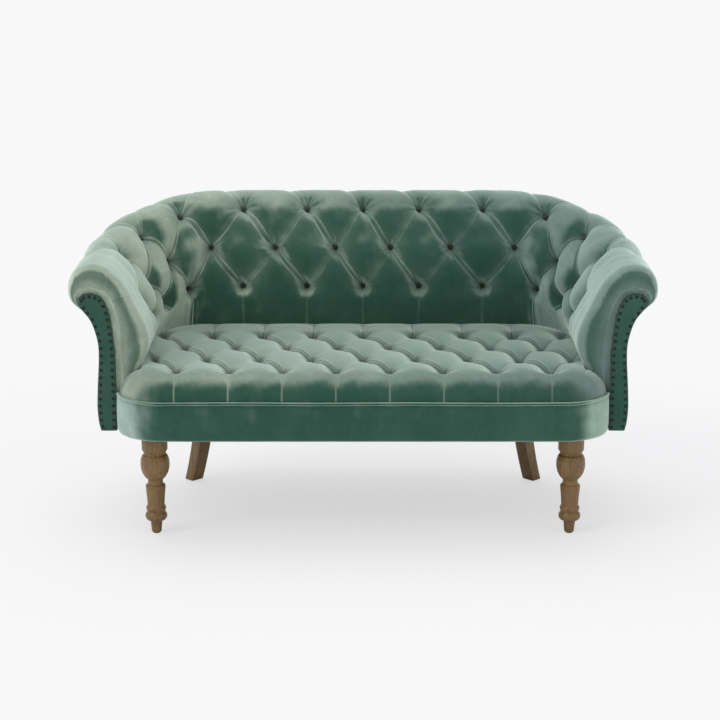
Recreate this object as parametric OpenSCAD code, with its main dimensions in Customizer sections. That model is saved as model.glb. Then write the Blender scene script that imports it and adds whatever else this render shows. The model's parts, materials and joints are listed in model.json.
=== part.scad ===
// Deep-buttoned couch: a tub back and arms of one scrolled profile on a bow-cornered seat frame.
// X runs along the width, Y from the front to the back, Z up. The feet stand on Z = 0.
// The tub follows one path round the seat. Its station s is 0 at the middle of the back and grows
// towards the right arm; n is the distance outside the path, and the crest is the top of the roll.

/* [Overall] */
// Width over the two arm rolls
couch_w = 1520; // [1300:10:1900]
// Depth from the front piping to the rear roll
couch_d = 781; // [700:1:900]
// Height of the back roll
couch_h = 800; // [740:5:900]
// Height of the arm rolls
arm_h = 705; // [670:5:735]
// Height of the seat crown
seat_h = 445; // [425:1:460]
// Setback of the arm facings behind the seat front
arm_setback = 104; // [80:1:125]
// Radius of the seat's front corners
front_r = 130; // [127:1:160]
// Radius of the tub's rear corners
rear_r = 225; // [190:1:260]

/* [Tub frame] */
// Radius of the roll at the top of the tub
roll_r = 60; // [50:1:64]
// Thickness of the tub frame at the bottom
tub_t = 45; // [38:1:56]
// Thickness of the ribs
rib_t = 22; // [16:1:28]
// Thickness of the arm stumps
stump_t = 40; // [34:1:50]
// Height of the base battens
batten_h = 35; // [25:1:45]
// Width of the top rails
top_rail_w = 24; // [16:1:26]
// Height of the top rails
top_rail_h = 42; // [30:1:46]

/* [Seat frame] */
// Height from the floor to the rails
rail_z = 270; // [200:1:285]
// Height of the seat rails
rail_h = 92; // [85:1:98]
// Thickness of the seat rails
rail_t = 35; // [30:1:42]
// Inner radius of the front corner blocks
block_r = 24; // [16:1:30]
// Width of the seat stretchers
stretcher_w = 45; // [30:1:60]
// Height of the seat stretchers and the rear leg blocks
stretcher_h = 50; // [40:1:60]
// Length of the stretcher tenons
tenon_l = 18; // [12:1:24]
// Width of the rear leg blocks
rear_block_w = 84; // [76:1:100]
// Radius of the rail dowels
dowel_r = 5; // [4:0.5:6]
// Length of the rail dowels
dowel_l = 50; // [36:1:56]

/* [Legs] */
// Largest radius of the turned front legs
leg_ball_r = 38; // [32:1:42]
// Width of the square rear legs
rear_leg_w = 40; // [32:1:46]
// Outward sweep of the rear legs
rear_leg_sweep = 56; // [30:1:70]
// Radius of the leg bolts
leg_bolt_r = 5; // [4:0.5:6]
// Length of the leg bolts above and below the joint
leg_bolt_l = 34; // [26:1:38]
// Radius of the leg glides
glide_r = 9; // [7:0.5:11]
// Height of the leg glides
glide_h = 3; // [2:0.5:5]

/* [Upholstery] */
// Depth of the tub pads at the seat
pad_foot = 67; // [60:1:74]
// Thickness of the border cloth
cover_t = 3; // [2:0.5:4]
// Radius of the piping
piping_r = 4; // [3:0.5:5]
// Thickness of one layer of webbing
web_t = 2; // [1.5:0.5:3]
// Width of the webbing
web_w = 50; // [40:1:60]
// Thickness of the hessian and the dust cover
cloth_t = 1.5; // [1:0.5:2]
// Thickness of the arm facings
facing_t = 6; // [4:0.5:8]
// Radius of the covered buttons
button_r = 8; // [6:0.5:9]
// Depth of the seat buttoning
seat_tuft = 40; // [24:1:46]
// Radius of the facing nails
nail_r = 5; // [4:0.5:6]
// Distance between the facing nails
nail_pitch = 19; // [15:0.5:24]
// Radius of the tub screws
screw_r = 2.5; // [2:0.5:3.5]

/* [Hidden] */
fine = 48;
overrun = 1;
fit = 0.2;
seam = 1;
tiny = 0.001;

// Places on the tub path
roll_reach = 1.983 * roll_r;
half_w = couch_w / 2 - roll_reach;
front_y = -couch_d / 2 + piping_r / 2;
back_y = couch_d / 2 - roll_reach;
bend_x = half_w - rear_r;
bend_y = back_y - rear_r;
arc_l = rear_r * PI / 2;
face_y = front_y + arm_setback;
stump_y = face_y + facing_t;
corner_x = half_w - front_r;
corner_y = front_y + front_r;
path_l = bend_x + arc_l + bend_y - stump_y;
// Room for the crest to fall from the back to the arms
fall_shares = [0.366, 0.777];

// Levels
rail_top = rail_z + rail_h;
band_top = rail_top + 2 * web_t;
pad_z = band_top + cloth_t;
batten_top = rail_z + batten_h;

wood = [0.55, 0.42, 0.29];
pale_wood = [0.78, 0.66, 0.48];
velvet = [0.33, 0.5, 0.42];
dark_velvet = [0.25, 0.4, 0.33];
cloth = [0.62, 0.54, 0.4];
metal = [0.4, 0.36, 0.3];

// Helpers for the tub path

function held(x, low, high) = min(max(x, low), high);

function side_of(s) = s < 0 ? -1 : 1;

// Direction of the outward normal at station s, in degrees from X
function heading(s) =
    let (turn = held((abs(s) - bend_x) / arc_l, 0, 1) * 90)
    s < 0 ? 90 + turn : 90 - turn;

// Plan position at station s, n outside the path
function place(s, n) =
    let (a = abs(s), turn = 90 - held((a - bend_x) / arc_l, 0, 1) * 90)
    a <= bend_x ? [s, back_y + n]
    : a <= bend_x + arc_l
        ? [side_of(s) * (bend_x + (rear_r + n) * cos(turn)), bend_y + (rear_r + n) * sin(turn)]
        : [side_of(s) * (half_w + n), bend_y - (a - bend_x - arc_l)];

// Height of the crest at station s
function crest(s) =
    let (t = held((abs(s) / path_l - fall_shares[0]) / (fall_shares[1] - fall_shares[0]), 0, 1))
    arm_h + (couch_h - arm_h) * (1 + cos(180 * t)) / 2;

function raised(s, ring) = [for (p = ring) [place(s, p[0])[0], place(s, p[0])[1], p[1]]];

// Points moved to the left of a run of points by the distance d
function shifted(run, d) =
    [for (i = [0:len(run) - 1])
        let (a = run[max(i - 1, 0)], b = run[min(i + 1, len(run) - 1)], t = (b - a) / norm(b - a))
        run[i] + d * [-t[1], t[0]]];

function turned_back(run) = [for (i = [len(run) - 1:-1:0]) run[i]];

// Stations between two ends, close together where the tub bends or falls
function stations(low, high, step_l) =
    let (n = max(1, ceil((high - low) / step_l)))
    [for (i = [0:n]) low + (high - low) * i / n];

// Triangles across a thin ring: its first points, up to the split, are joined to the ones that come back
// beside them, always along the shorter diagonal
function sewn(ring, split, i = 0, m = 0) =
    let (
        last = len(ring) - 1,
        there_done = i == split - 1,
        back_done = m == last - split
    )
    there_done && back_done ? [] :
    let (
        next_there = norm(ring[min(i + 1, last)] - ring[last - m]),
        next_back = norm(ring[i] - ring[max(last - m - 1, 0)]),
        ahead = !there_done && (back_done || next_there <= next_back)
    )
    ahead ? concat([[i, i + 1, last - m]], sewn(ring, split, i + 1, m))
        : concat([[i, last - m - 1, last - m]], sewn(ring, split, i, m + 1));

// A solid through rings of points, one ring for each station. Rings with a split have sewn ends
module swept(rings, flips = [], split = 0) {
    k = len(rings[0]);
    n = len(rings);
    sides = [
        for (i = [0:n - 2])
            for (j = [0:k - 1])
                let (
                    a = i * k + j,
                    b = i * k + (j + 1) % k,
                    c = (i + 1) * k + (j + 1) % k,
                    d = (i + 1) * k + j,
                    left = rings[i][0][0] + rings[i + 1][0][0] < 0,
                    flip = j < len(flips) ? flips[j][i] : left
                )
                each flip ? [[a, d, b], [d, c, b]] : [[a, d, c], [a, c, b]]
    ];
    o = (n - 1) * k;
    ends = split == 0 ? [[for (j = [0:k - 1]) j], [for (j = [k - 1:-1:0]) o + j]]
        : concat(sewn(rings[0], split), [for (t = sewn(rings[n - 1], split)) [o + t[2], o + t[1], o + t[0]]]);
    polyhedron(points = [for (r = rings) each r], faces = concat(sides, ends), convexity = 10);
}

// Seat frame

module front_rail_body() {
    difference() {
        translate([-corner_x, front_y + cover_t, rail_z])
            cube([2 * corner_x, rail_t - cover_t, rail_h + web_t]);
        dowels(fit);
        stretcher_tenons(fit);
    }
}

module front_rail() {
    color(pale_wood) front_rail_body();
}

module front_corner(side) {
    color(pale_wood) difference() {
        translate([side * corner_x, corner_y, rail_z])
            rotate([0, 0, side > 0 ? -90 : 180])
            rotate_extrude(angle = 90, $fn = fine)
            translate([block_r, 0])
            square([front_r - cover_t - block_r, rail_h]);
        dowels(fit);
        leg_bolt_set(fit);
    }
}

module front_corner_left() {
    front_corner(-1);
}

module front_corner_right() {
    front_corner(1);
}

module side_rail(side) {
    color(pale_wood) difference() {
        translate([side > 0 ? half_w - rail_t : -half_w, corner_y, rail_z])
            cube([rail_t, bend_y - corner_y, rail_h]);
        dowels(fit);
        screw_set(fit);
    }
}

module side_rail_left() {
    side_rail(-1);
}

module side_rail_right() {
    side_rail(1);
}

module rear_corner(side) {
    color(pale_wood) difference() {
        translate([side * bend_x, bend_y, rail_z])
            rotate([0, 0, side > 0 ? 0 : 90])
            rotate_extrude(angle = 90, $fn = fine)
            translate([rear_r - rail_t, 0])
            square([rail_t, rail_h]);
        dowels(fit);
        screw_set(fit);
    }
}

module rear_corner_left() {
    rear_corner(-1);
}

module rear_corner_right() {
    rear_corner(1);
}

module back_rail() {
    color(pale_wood) difference() {
        translate([-bend_x, back_y - rail_t, rail_z])
            cube([2 * bend_x, rail_t, rail_h + web_t]);
        dowels(fit);
        stretcher_tenons(fit);
        screw_set(fit);
    }
}

stretcher_place_shares = [0.36, 0.05];
tenon_shares = [0.4, 0.5];
stretcher_gap_share = 0.2;
stretcher_x = stretcher_place_shares[0] * bend_x + stretcher_place_shares[1] * half_w;
tenon_w = tenon_shares[0] * stretcher_w;
tenon_h = tenon_shares[1] * stretcher_h;
stretcher_gap = stretcher_gap_share * stretcher_h;

module stretcher_tenons(room) {
    for (side = [-1, 1])
        translate([
            side * stretcher_x - tenon_w / 2 - room,
            front_y + rail_t - tenon_l - room,
            rail_z + stretcher_gap + (stretcher_h - tenon_h) / 2 - room
        ])
        cube([
            tenon_w + 2 * room,
            back_y - front_y - 2 * rail_t + 2 * tenon_l + 2 * room,
            tenon_h + 2 * room
        ]);
}

module seat_stretcher(side) {
    color(pale_wood) union() {
        translate([side * stretcher_x - stretcher_w / 2, front_y + rail_t, rail_z + stretcher_gap])
            cube([stretcher_w, back_y - front_y - 2 * rail_t, stretcher_h]);
        intersection() {
            stretcher_tenons(0);
            translate([side * stretcher_x - stretcher_w / 2, front_y, rail_z])
                cube([stretcher_w, back_y - front_y, rail_h]);
        }
    }
}

module seat_stretcher_left() {
    seat_stretcher(-1);
}

module seat_stretcher_right() {
    seat_stretcher(1);
}

// Rear leg blocks span the curved corners
rear_leg_shares = [0.111, 0.267];
rear_leg_x = bend_x + rear_leg_shares[0] * rear_r;
rear_leg_y = bend_y + rear_leg_shares[1] * rear_r;

module corner_opening(side) {
    translate([side * bend_x, bend_y, rail_z - overrun])
        cylinder(r = rear_r - rail_t, h = stretcher_h + 2 * overrun, $fn = fine);
}

module rear_block(side) {
    color(pale_wood) difference() {
        intersection() {
            translate([side * rear_leg_x, rear_leg_y, rail_z + stretcher_h / 2])
                rotate([0, 0, side * -45])
                cube([2 * rear_r, rear_block_w, stretcher_h], center = true);
            union() {
                corner_opening(side);
                translate([side > 0 ? bend_x - rear_r : -bend_x, bend_y, rail_z - overrun])
                    cube([rear_r, rear_r - rail_t, stretcher_h + 2 * overrun]);
                translate([side > 0 ? bend_x : -half_w + rail_t, bend_y - rear_r, rail_z - overrun])
                    cube([rear_r - rail_t, rear_r, stretcher_h + 2 * overrun]);
            }
        }
        leg_bolt_set(fit);
    }
}

module rear_block_left() {
    rear_block(-1);
}

module rear_block_right() {
    rear_block(1);
}

// Dowels across the eight joints of the seat rails
dowel_height_shares = [0.28, 0.72];
dowel_zs = [for (share = dowel_height_shares) rail_z + share * rail_h];

module dowel(pos, yaw, room) {
    translate(pos)
        rotate([0, 90, yaw])
        cylinder(r = dowel_r + room, h = dowel_l + 2 * room, center = true, $fn = fine);
}

module dowels(room) {
    mid = (rail_t + cover_t) / 2;
    for (side = [-1, 1])
        for (z = dowel_zs) {
            dowel([side * corner_x, front_y + mid, z], 0, room);
            dowel([side * (half_w - mid), corner_y, z], 90, room);
            dowel([side * (half_w - mid), bend_y, z], 90, room);
            dowel([side * bend_x, back_y - mid, z], 0, room);
        }
}

module rail_dowels() {
    color(wood) dowels(0);
}

// Legs

leg_x = corner_x + 0.235 * front_r;
leg_y = corner_y - 0.392 * front_r;
leg_l = rail_z - glide_h;
// Radii and heights of the turning as shares of the ball radius and the leg length
turn_r_shares = [0, 0.33, 0.42, 0.44, 0.53, 0.755, 0.755, 0.62, 0.62, 0.68, 0.68, 0.57, 0.62, 0.684,
    0.684, 0.526, 0.508, 0.56, 0.72, 0.9, 0.985, 1, 0.97, 0.87, 0.72, 0.73, 0.79, 0.79, 0.887, 0.887, 0];
turn_z_shares = [0, 0, 0.11, 0.12, 0.135, 0.155, 0.168, 0.19, 0.21, 0.228, 0.245, 0.262, 0.36, 0.457,
    0.478, 0.494, 0.53, 0.543, 0.565, 0.61, 0.66, 0.7, 0.745, 0.78, 0.8, 0.806, 0.815, 0.828, 0.84, 1, 1];

module front_leg(side) {
    color(wood) difference() {
        translate([side * leg_x, leg_y, glide_h])
            rotate_extrude($fn = fine)
            polygon([for (i = [0:len(turn_r_shares) - 1])
                [turn_r_shares[i] * leg_ball_r, turn_z_shares[i] * leg_l]]);
        leg_bolt_set(fit);
    }
}

module front_leg_left() {
    front_leg(-1);
}

module front_leg_right() {
    front_leg(1);
}

// The rear leg bows outwards along the diagonal of its corner
leg_steps = 8;
leg_widths = [0.84, 1.08];

function leg_bow(t) = rear_leg_sweep * pow(1 - t, 1.7);

function leg_half(t) = rear_leg_w * (leg_widths[0] + (leg_widths[1] - leg_widths[0]) * t) / 2;

module rear_leg(side) {
    front_run = [for (i = [0:leg_steps]) let (t = i / leg_steps) [leg_bow(t) - leg_half(t), t * leg_l]];
    rear_run = [for (i = [leg_steps:-1:0]) let (t = i / leg_steps) [leg_bow(t) + leg_half(t), t * leg_l]];
    color(wood) difference() {
        translate([side * rear_leg_x, rear_leg_y, glide_h])
            rotate([90, 0, side > 0 ? 45 : 135])
            linear_extrude(height = rear_leg_w, center = true)
            polygon(concat(front_run, rear_run));
        leg_bolt_set(fit);
    }
}

module rear_leg_left() {
    rear_leg(-1);
}

module rear_leg_right() {
    rear_leg(1);
}

foot_shift = rear_leg_sweep * cos(45);

module leg_bolt_set(room) {
    for (side = [-1, 1])
        for (pos = [[leg_x, leg_y], [rear_leg_x, rear_leg_y]])
            translate([side * pos[0], pos[1], rail_z - leg_bolt_l - room])
            cylinder(r = leg_bolt_r + room, h = 2 * leg_bolt_l + 2 * room, $fn = fine);
}

module leg_bolts() {
    color(metal) leg_bolt_set(0);
}

module leg_glides() {
    color(metal)
        for (side = [-1, 1])
            for (pos = [[leg_x, leg_y], [rear_leg_x + foot_shift, rear_leg_y + foot_shift]])
                translate([side * pos[0], pos[1], 0])
                cylinder(r = glide_r, h = glide_h, $fn = fine);
}

// Tub frame

batten_w = 0.8 * tub_t;

// Scroll profile of the frame, as shares of the roll radius outside the path and below the crest
curl_in_shares = [[0, 3.717], [0.083, 2.817], [0.167, 2.133], [0.333, 1.633], [0.55, 1.3],
    [0.917, 1.167], [1.283, 1.217], [1.5, 1.433]];
curl_out_shares = [[1.267, 1.917], [0.967, 2.283], [0.8, 2.75]];

function curl_run(shares, top) = [for (p = shares) [p[0] * roll_r, top - p[1] * roll_r]];

function frame_ring(top, low) =
    concat([[0, low]], curl_run(curl_in_shares, top), curl_run(curl_out_shares, top),
        [[batten_w, top - 3.6 * roll_r], [batten_w, low]]);

module base_straight_arm(side) {
    color(pale_wood)
        translate([side > 0 ? half_w : -half_w - batten_w, stump_y, rail_z])
        cube([batten_w, bend_y - stump_y, batten_h]);
}

module base_back() {
    color(pale_wood)
        translate([-bend_x, back_y, rail_z])
        cube([2 * bend_x, batten_w, batten_h]);
}

module base_corner(side) {
    color(pale_wood)
        translate([side * bend_x, bend_y, rail_z])
        rotate([0, 0, side > 0 ? 0 : 90])
        rotate_extrude(angle = 90, $fn = fine)
        translate([rear_r, 0])
        square([batten_w, batten_h]);
}

module base_corner_left() {
    base_corner(-1);
}

module base_corner_right() {
    base_corner(1);
}

module base_arm_left() {
    base_straight_arm(-1);
}

module base_arm_right() {
    base_straight_arm(1);
}

// Stations of the ribs: back ribs, back posts, corner ribs, side posts and arm stumps
rib_shares = [0.12, 0.335, 0.54, 0.74];
stump_s = path_l - stump_t / 2;

function rib_station(i) = i < len(rib_shares) ? rib_shares[i] * path_l : stump_s;

module rib(s, t) {
    color(pale_wood) difference() {
        translate([place(s, 0)[0], place(s, 0)[1], 0])
            rotate([90, 0, heading(s)])
            linear_extrude(height = t, center = true)
            polygon(frame_ring(crest(s), batten_top));
        top_rail_run(s - t, s + t, fit);
        screw_set(0);
    }
}

module back_rib_left() {
    rib(-rib_station(0), rib_t);
}

module back_rib_right() {
    rib(rib_station(0), rib_t);
}

module back_post_left() {
    rib(-rib_station(1), rib_t);
}

module back_post_right() {
    rib(rib_station(1), rib_t);
}

module corner_rib_left() {
    rib(-rib_station(2), rib_t);
}

module corner_rib_right() {
    rib(rib_station(2), rib_t);
}

module side_post_left() {
    rib(-rib_station(3), rib_t);
}

module side_post_right() {
    rib(rib_station(3), rib_t);
}

module arm_stump_left() {
    rib(-stump_s, stump_t);
}

module arm_stump_right() {
    rib(stump_s, stump_t);
}

// Top rails run through the ribs and meet inside the posts
top_rail_n = 0.38 * roll_r;
top_rail_drop = 1.72 * roll_r;

function top_rail_ring(s, room) =
    let (
        near = top_rail_n - room,
        far = top_rail_n + top_rail_w + room,
        high = crest(s) - top_rail_drop + room,
        low = crest(s) - top_rail_drop - top_rail_h - room
    )
    [[near, low], [far, low], [far, high], [near, high]];

module top_rail_run(low, high, room) {
    swept([for (s = stations(low, high, rib_t)) raised(s, top_rail_ring(s, room))]);
}

module top_rail_back() {
    color(wood) top_rail_run(-rib_station(1), rib_station(1), 0);
}

module top_rail_corner_left() {
    color(wood) top_rail_run(-rib_station(3), -rib_station(1), 0);
}

module top_rail_corner_right() {
    color(wood) top_rail_run(rib_station(1), rib_station(3), 0);
}

rail_end = path_l - stump_t / 2;

module top_rail_arm_left() {
    color(wood) top_rail_run(-rail_end, -rib_station(3), 0);
}

module top_rail_arm_right() {
    color(wood) top_rail_run(rib_station(3), rail_end, 0);
}

// Screws from inside the rails into the ribs
screw_z = (batten_top + rail_top) / 2;
screw_bite = 0.6 * batten_w;
screw_head_t = 1.2 * screw_r;

function screw_stations() = concat(
    [for (i = [0:len(rib_shares) - 1]) rib_station(i)],
    [path_l - 0.75 * stump_t]
);

module screw_set(room) {
    for (side = [-1, 1])
        for (s = screw_stations())
            translate([place(side * s, -rail_t)[0], place(side * s, -rail_t)[1], screw_z])
            rotate([0, 90, heading(side * s)]) {
                translate([0, 0, -screw_head_t])
                    cylinder(r = 2 * screw_r, h = screw_head_t, $fn = fine);
                cylinder(r = screw_r + room, h = rail_t + screw_bite, $fn = fine);
            }
}

module tub_screws() {
    color(metal) screw_set(0);
}

// Suspension

long_count = 9;
cross_count = 4;
web_lap = 0.7 * rail_t;

module webbing_long() {
    pitch = 2 * bend_x / long_count;
    color(cloth)
        for (i = [0:long_count - 1])
            translate([-bend_x + (i + 0.5) * pitch - web_w / 2, front_y + rail_t - web_lap, rail_top + web_t])
            cube([web_w, back_y - front_y - 2 * rail_t + 2 * web_lap, web_t]);
}

module webbing_cross() {
    pitch = (bend_y - corner_y) / cross_count;
    color(cloth)
        for (i = [0:cross_count - 1])
            translate([-half_w + rail_t - web_lap, corner_y + (i + 0.5) * pitch - web_w / 2, rail_top])
            cube([2 * (half_w - rail_t + web_lap), web_w, web_t]);
}

// Plan of the seat ring, inset by the distance d
module seat_plan(d) {
    hull() {
        for (side = [-1, 1]) {
            translate([side * corner_x, corner_y])
                circle(r = front_r - d, $fn = fine);
            translate([side * bend_x, bend_y])
                circle(r = rear_r - d, $fn = fine);
        }
    }
}

module seat_hessian() {
    color(cloth)
        translate([0, 0, band_top])
        linear_extrude(height = cloth_t)
        seat_plan(rail_t / 2);
}

module dust_cover() {
    color(cloth) difference() {
        translate([0, 0, rail_z - cloth_t])
            linear_extrude(height = cloth_t)
            seat_plan(rail_t / 4);
        for (side = [-1, 1]) {
            translate([side * leg_x, leg_y, 0])
                cylinder(r = leg_ball_r, h = rail_z + overrun, $fn = fine);
            translate([side * rear_leg_x, rear_leg_y, rail_z / 2 + overrun])
                rotate([0, 0, 45])
                cube([1.3 * rear_leg_w, 1.1 * rear_leg_w, rail_z], center = true);
        }
    }
}

// Hessian over the inner edges of the ribs
bend_step = rear_r / 9;

function tub_stations(low, high) =
    let (
        fall = fall_shares[0] * path_l,
        bend_end = bend_x + arc_l,
        straight = stations(bend_end, path_l, bend_step),
        mid = concat(
            fall < bend_x - tiny ? [fall] : [],
            stations(bend_x, bend_end, bend_step),
            [for (i = [1:len(straight) - 1]) straight[i]]
        )
    )
    [for (s = concat(
        [low],
        [for (m = turned_back(mid)) if (-m > low + tiny && -m < high - tiny) -m],
        [for (m = mid) if (m > low + tiny && m < high - tiny) m],
        [high]
    )) s];

module tub_hessian() {
    rings = [
        for (s = tub_stations(-path_l, path_l))
            let (run = concat([[0, pad_z]], curl_run(curl_in_shares, crest(s))))
            raised(s, concat(run, turned_back(shifted(run, cloth_t))))
    ];
    color(cloth) swept(rings, split = len(rings[0]) / 2);
}

// Pads of the tub: rows run from the seat over the roll to the tacked edge below it
// Each row: lattice row, then shares of the roll radius for the crown, the button depth and its place
// on the frame
rows = [
    // lattice, crown n, crown drop, deep n, deep drop, frame place
    [0, 0, 0, 0, 0, 0],
    [0, 0, 0, 0, 0, 0.35],
    [0, -1.33, 0, -0.85, 0, 0.6],
    [0, -1.417, 3.533, -0.3, 3.533, 0.9],
    [1 / 3, -1.4, 3.15, -0.26, 3.15, 1.3],
    [2 / 3, -1.33, 2.8, -0.2, 2.8, 1.8],
    [1, -1.2, 2.43, -0.1, 2.45, 2.4],
    [4 / 3, -0.87, 1.8, 0.02, 1.95, 3],
    [5 / 3, -0.53, 1.08, 0.18, 1.5, 3.7],
    [2, -0.1, 0.5, 0.38, 1.12, 4.4],
    [13 / 6, 0.3, 0.17, 0.5, 0.75, 4.9],
    [7 / 3, 0.67, 0.03, 0.75, 0.45, 5.4],
    [5 / 2, 1.03, 0, 1.03, 0.3, 5.9],
    [8 / 3, 1.417, 0.1, 1.3, 0.4, 6.4],
    [17 / 6, 1.75, 0.35, 1.48, 0.6, 7],
    [3, 1.95, 0.767, 1.55, 0.82, 7.6],
    [3, 1.983, 1.017, 1.7, 1.05, 8.1],
    [3, 1.88, 1.5, 1.7, 1.45, 8.5],
    [3, 1.45, 1.87, 1.45, 1.87, 9]
];
row_c = 3;
row_b = 6;
row_a = 9;
row_z = 15;
// Extra drop of the lowest buttons where the back is tall
tall_share = 0.7;
low_share = 0.55;
seat_edge = seat_h - 0.15 * roll_r;

function tallness(top) = (top - arm_h) / max(couch_h - arm_h, tiny);

// Share of the extra drop that a row takes
function drop_part(v) = held(1 - v, 0, 1) * tall_share;

function row_z_at(drop, v, top) = top - (drop + drop_part(v) * tallness(top)) * roll_r;

function crown(j, top) =
    j == 0 ? [-pad_foot, pad_z]
    : j == 1 ? [-pad_foot, seat_edge]
    : j == 2 ? [rows[j][1] * roll_r, seat_edge + low_share * (row_z_at(rows[row_c][2], 0, top) - seat_edge)]
    : [rows[j][1] * roll_r, row_z_at(rows[j][2], rows[j][0], top)];

function deep(j, top) =
    j < 2 ? crown(j, top) + [j * 0.2 * roll_r, 0]
    : j == 2 ? [rows[j][3] * roll_r, crown(j, top)[1]]
    : [rows[j][3] * roll_r, row_z_at(rows[j][4], rows[j][0], top)];

// Hidden side of the pads, against the hessian
function hidden_run(top) =
    shifted(
        concat([[0, pad_z]], curl_run(curl_in_shares, top), [[1.3 * roll_r, top - 1.86 * roll_r]]),
        cloth_t + fit
    );

function on_run(run, at) =
    let (i = min(floor(at), len(run) - 2))
    run[i] + (at - i) * (run[i + 1] - run[i]);

// Buttoning lattice: whole and half stations along the path
station_shares = [0, 0.1436, 0.3074, 0.4684, 0.5883, 0.7164, 0.8811, 1.0458];
lattice_table = [for (i = [0:len(station_shares) - 1]) [i, station_shares[i] * path_l]];
lattice_steps = 6;
pad_seam = 3;
past_seam_share = 0.25;
last_button = 5.5;
plain_from = 5.9;

function station_at(u) = side_of(u) * lookup(abs(u), lattice_table);

crease_share = 0.55;
crease_power = 0.9;
dome_power = 0.5;

function wave(x) = abs(sin(180 * x));

// Height of the padding between creases: 0 at a button, 1 at the top of a diamond
function puff(u, v) =
    let (p = wave(u + v / 2), q = wave(u - v / 2), a = pow(p, crease_power), b = pow(q, crease_power))
    crease_share * (a + b - a * b) + (1 - crease_share) * pow(p * q, dome_power);

// The front of the arms is plain
function tufting(u) = 1 - held((abs(u) - last_button) / (plain_from - last_button), 0, 1);

end_round = 0.55 * roll_r;
end_left = 0.2;

// Share of the way to the frame at the rounded front of an arm pad
function end_draw(s, s_end) =
    let (t = held((abs(s) - (s_end - end_round)) / end_round, 0, 1))
    min(1 - sqrt(max(1 - t * t, 0)), 1 - end_left);

function pad_ring(u, s, s_end) =
    let (top = crest(s), hidden = hidden_run(top), draw = end_draw(s, s_end))
    raised(s, concat(
        [for (i = [0:len(hidden) - 1]) hidden[i]],
        [for (j = [len(rows) - 1:-1:0])
            let (
                high = crown(j, top),
                sunk = (deep(j, top) - high) * (1 - puff(u, rows[j][0])) * tufting(u),
                seat_cap = j == 0 ? 0 : 1
            )
            (1 - draw) * (high + seat_cap * sunk) + draw * on_run(hidden, rows[j][5])]
    ));

// Diagonals of the facets follow the creases
function pad_flips(us) =
    let (count = len(hidden_run(couch_h)))
    [for (r = [0:count + len(rows) - 1])
        [for (i = [0:len(us) - 2])
            let (
                v = rows[held(len(rows) - 2 - (r - count), 0, len(rows) - 1)][0],
                left = us[i] + us[i + 1] < 0,
                line = left ? us[i + 1] + v / 2 : us[i] - v / 2,
                crease = r >= count && abs(line - round(line)) < tiny
            )
            left != crease]];

module tub_pad(u_list, s_end) {
    s_list = [for (u = u_list) side_of(u) * min(abs(station_at(u)), s_end)];
    swept([for (i = [0:len(u_list) - 1]) pad_ring(u_list[i], s_list[i], s_end)], pad_flips(u_list),
        len(hidden_run(couch_h)));
}

pad_end = path_l + facing_t;
arm_grid = [for (i = [0:19]) pad_seam + i / lattice_steps];
arm_last = [6.28, 6.4, 6.5, 6.58, 6.64, 6.69, 6.73, 6.78];

module back_pad() {
    color(velvet)
        tub_pad([for (i = [-pad_seam * lattice_steps:pad_seam * lattice_steps]) i / lattice_steps], pad_end);
}

module arm_pad_right() {
    color(velvet) tub_pad(concat(arm_grid, arm_last), pad_end);
}

module arm_pad_left() {
    color(velvet) tub_pad([for (u = turned_back(concat(arm_grid, arm_last))) -u], pad_end);
}

// A covered button with its neck in the fold
tub_neck_share = 2.5;
seat_neck_share = 1.8;
stalk_shares = [0.2, 0.65];
cap_shares = [[0.96, 0.22], [0.72, 0.44], [0.38, 0.53], [0, 0.55]];

module button(neck_share) {
    rotate_extrude($fn = fine)
        polygon(concat(
            [[0, fit], [stalk_shares[0] * button_r, stalk_shares[1] * neck_share * button_r],
                [button_r, neck_share * button_r]],
            [for (p = cap_shares) [p[0] * button_r, (neck_share + p[1]) * button_r]]
        ));
}

module tub_button(u, j) {
    s = station_at(u);
    low = deep(j, crest(s));
    way = crown(j, crest(s)) - low;
    pos = place(s, low[0]);
    translate([pos[0], pos[1], low[1]])
        rotate([0, atan2(way[0], way[1]), heading(s)])
        button(tub_neck_share);
}

module tub_buttons(low, high) {
    for (side = [-1, 1])
        for (j = [row_c, row_b, row_a, row_z])
            for (u = [rows[j][0] % 2 / 2:last_button])
                if (u >= low && u <= high && (u > 0 || side > 0))
                    tub_button(side * u, j);
}

module back_buttons() {
    color(dark_velvet) tub_buttons(0, pad_seam);
}

module arm_buttons() {
    color(dark_velvet) tub_buttons(pad_seam + past_seam_share, last_button);
}

// Seat pad

inner_w = half_w - pad_foot - seam;
seat_l = back_y - pad_foot - seam - front_y;
seat_pitch = inner_w / 4.16;
row_pitch = 0.218 * seat_l;
first_row = front_y + 0.137 * seat_l;
edge_in = piping_r / 2 + piping_r;
edge_round = 0.125 * seat_l;
seat_rows = 4;

seat_dx = seat_pitch / lattice_steps;
seat_dy = 2 * row_pitch / lattice_steps;
lattice_cols = floor((inner_w - seat_dx / 2) / seat_dx);
front_reach = corner_x + sqrt(pow(front_r - edge_in, 2) - pow(corner_y - face_y + 3 * seam, 2)) - seam;
wing = front_reach - inner_w;
half_cols = concat(
    [for (i = [0:lattice_cols]) i * seat_dx],
    [inner_w, inner_w + seam, inner_w + 0.36 * wing, inner_w + 0.7 * wing, inner_w + 0.9 * wing, front_reach]
);
seat_cols = concat([for (x = turned_back(half_cols)) if (x > 0) -x], half_cols);
front_steps = [0, 0.03, 0.11, 0.26, 0.5, 0.75];
lattice_lines = floor((seat_l + front_y - first_row - seat_dy / 3) / seat_dy);
seat_lines = concat(
    [for (t = front_steps) front_y + edge_in + t * (first_row - front_y - edge_in)],
    [for (i = [0:lattice_lines]) first_row + i * seat_dy],
    [front_y + seat_l]
);

function seat_front(x) =
    let (over = max(abs(x) - corner_x, 0), r = front_r - edge_in)
    corner_y - sqrt(max(r * r - over * over, 0));

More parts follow.
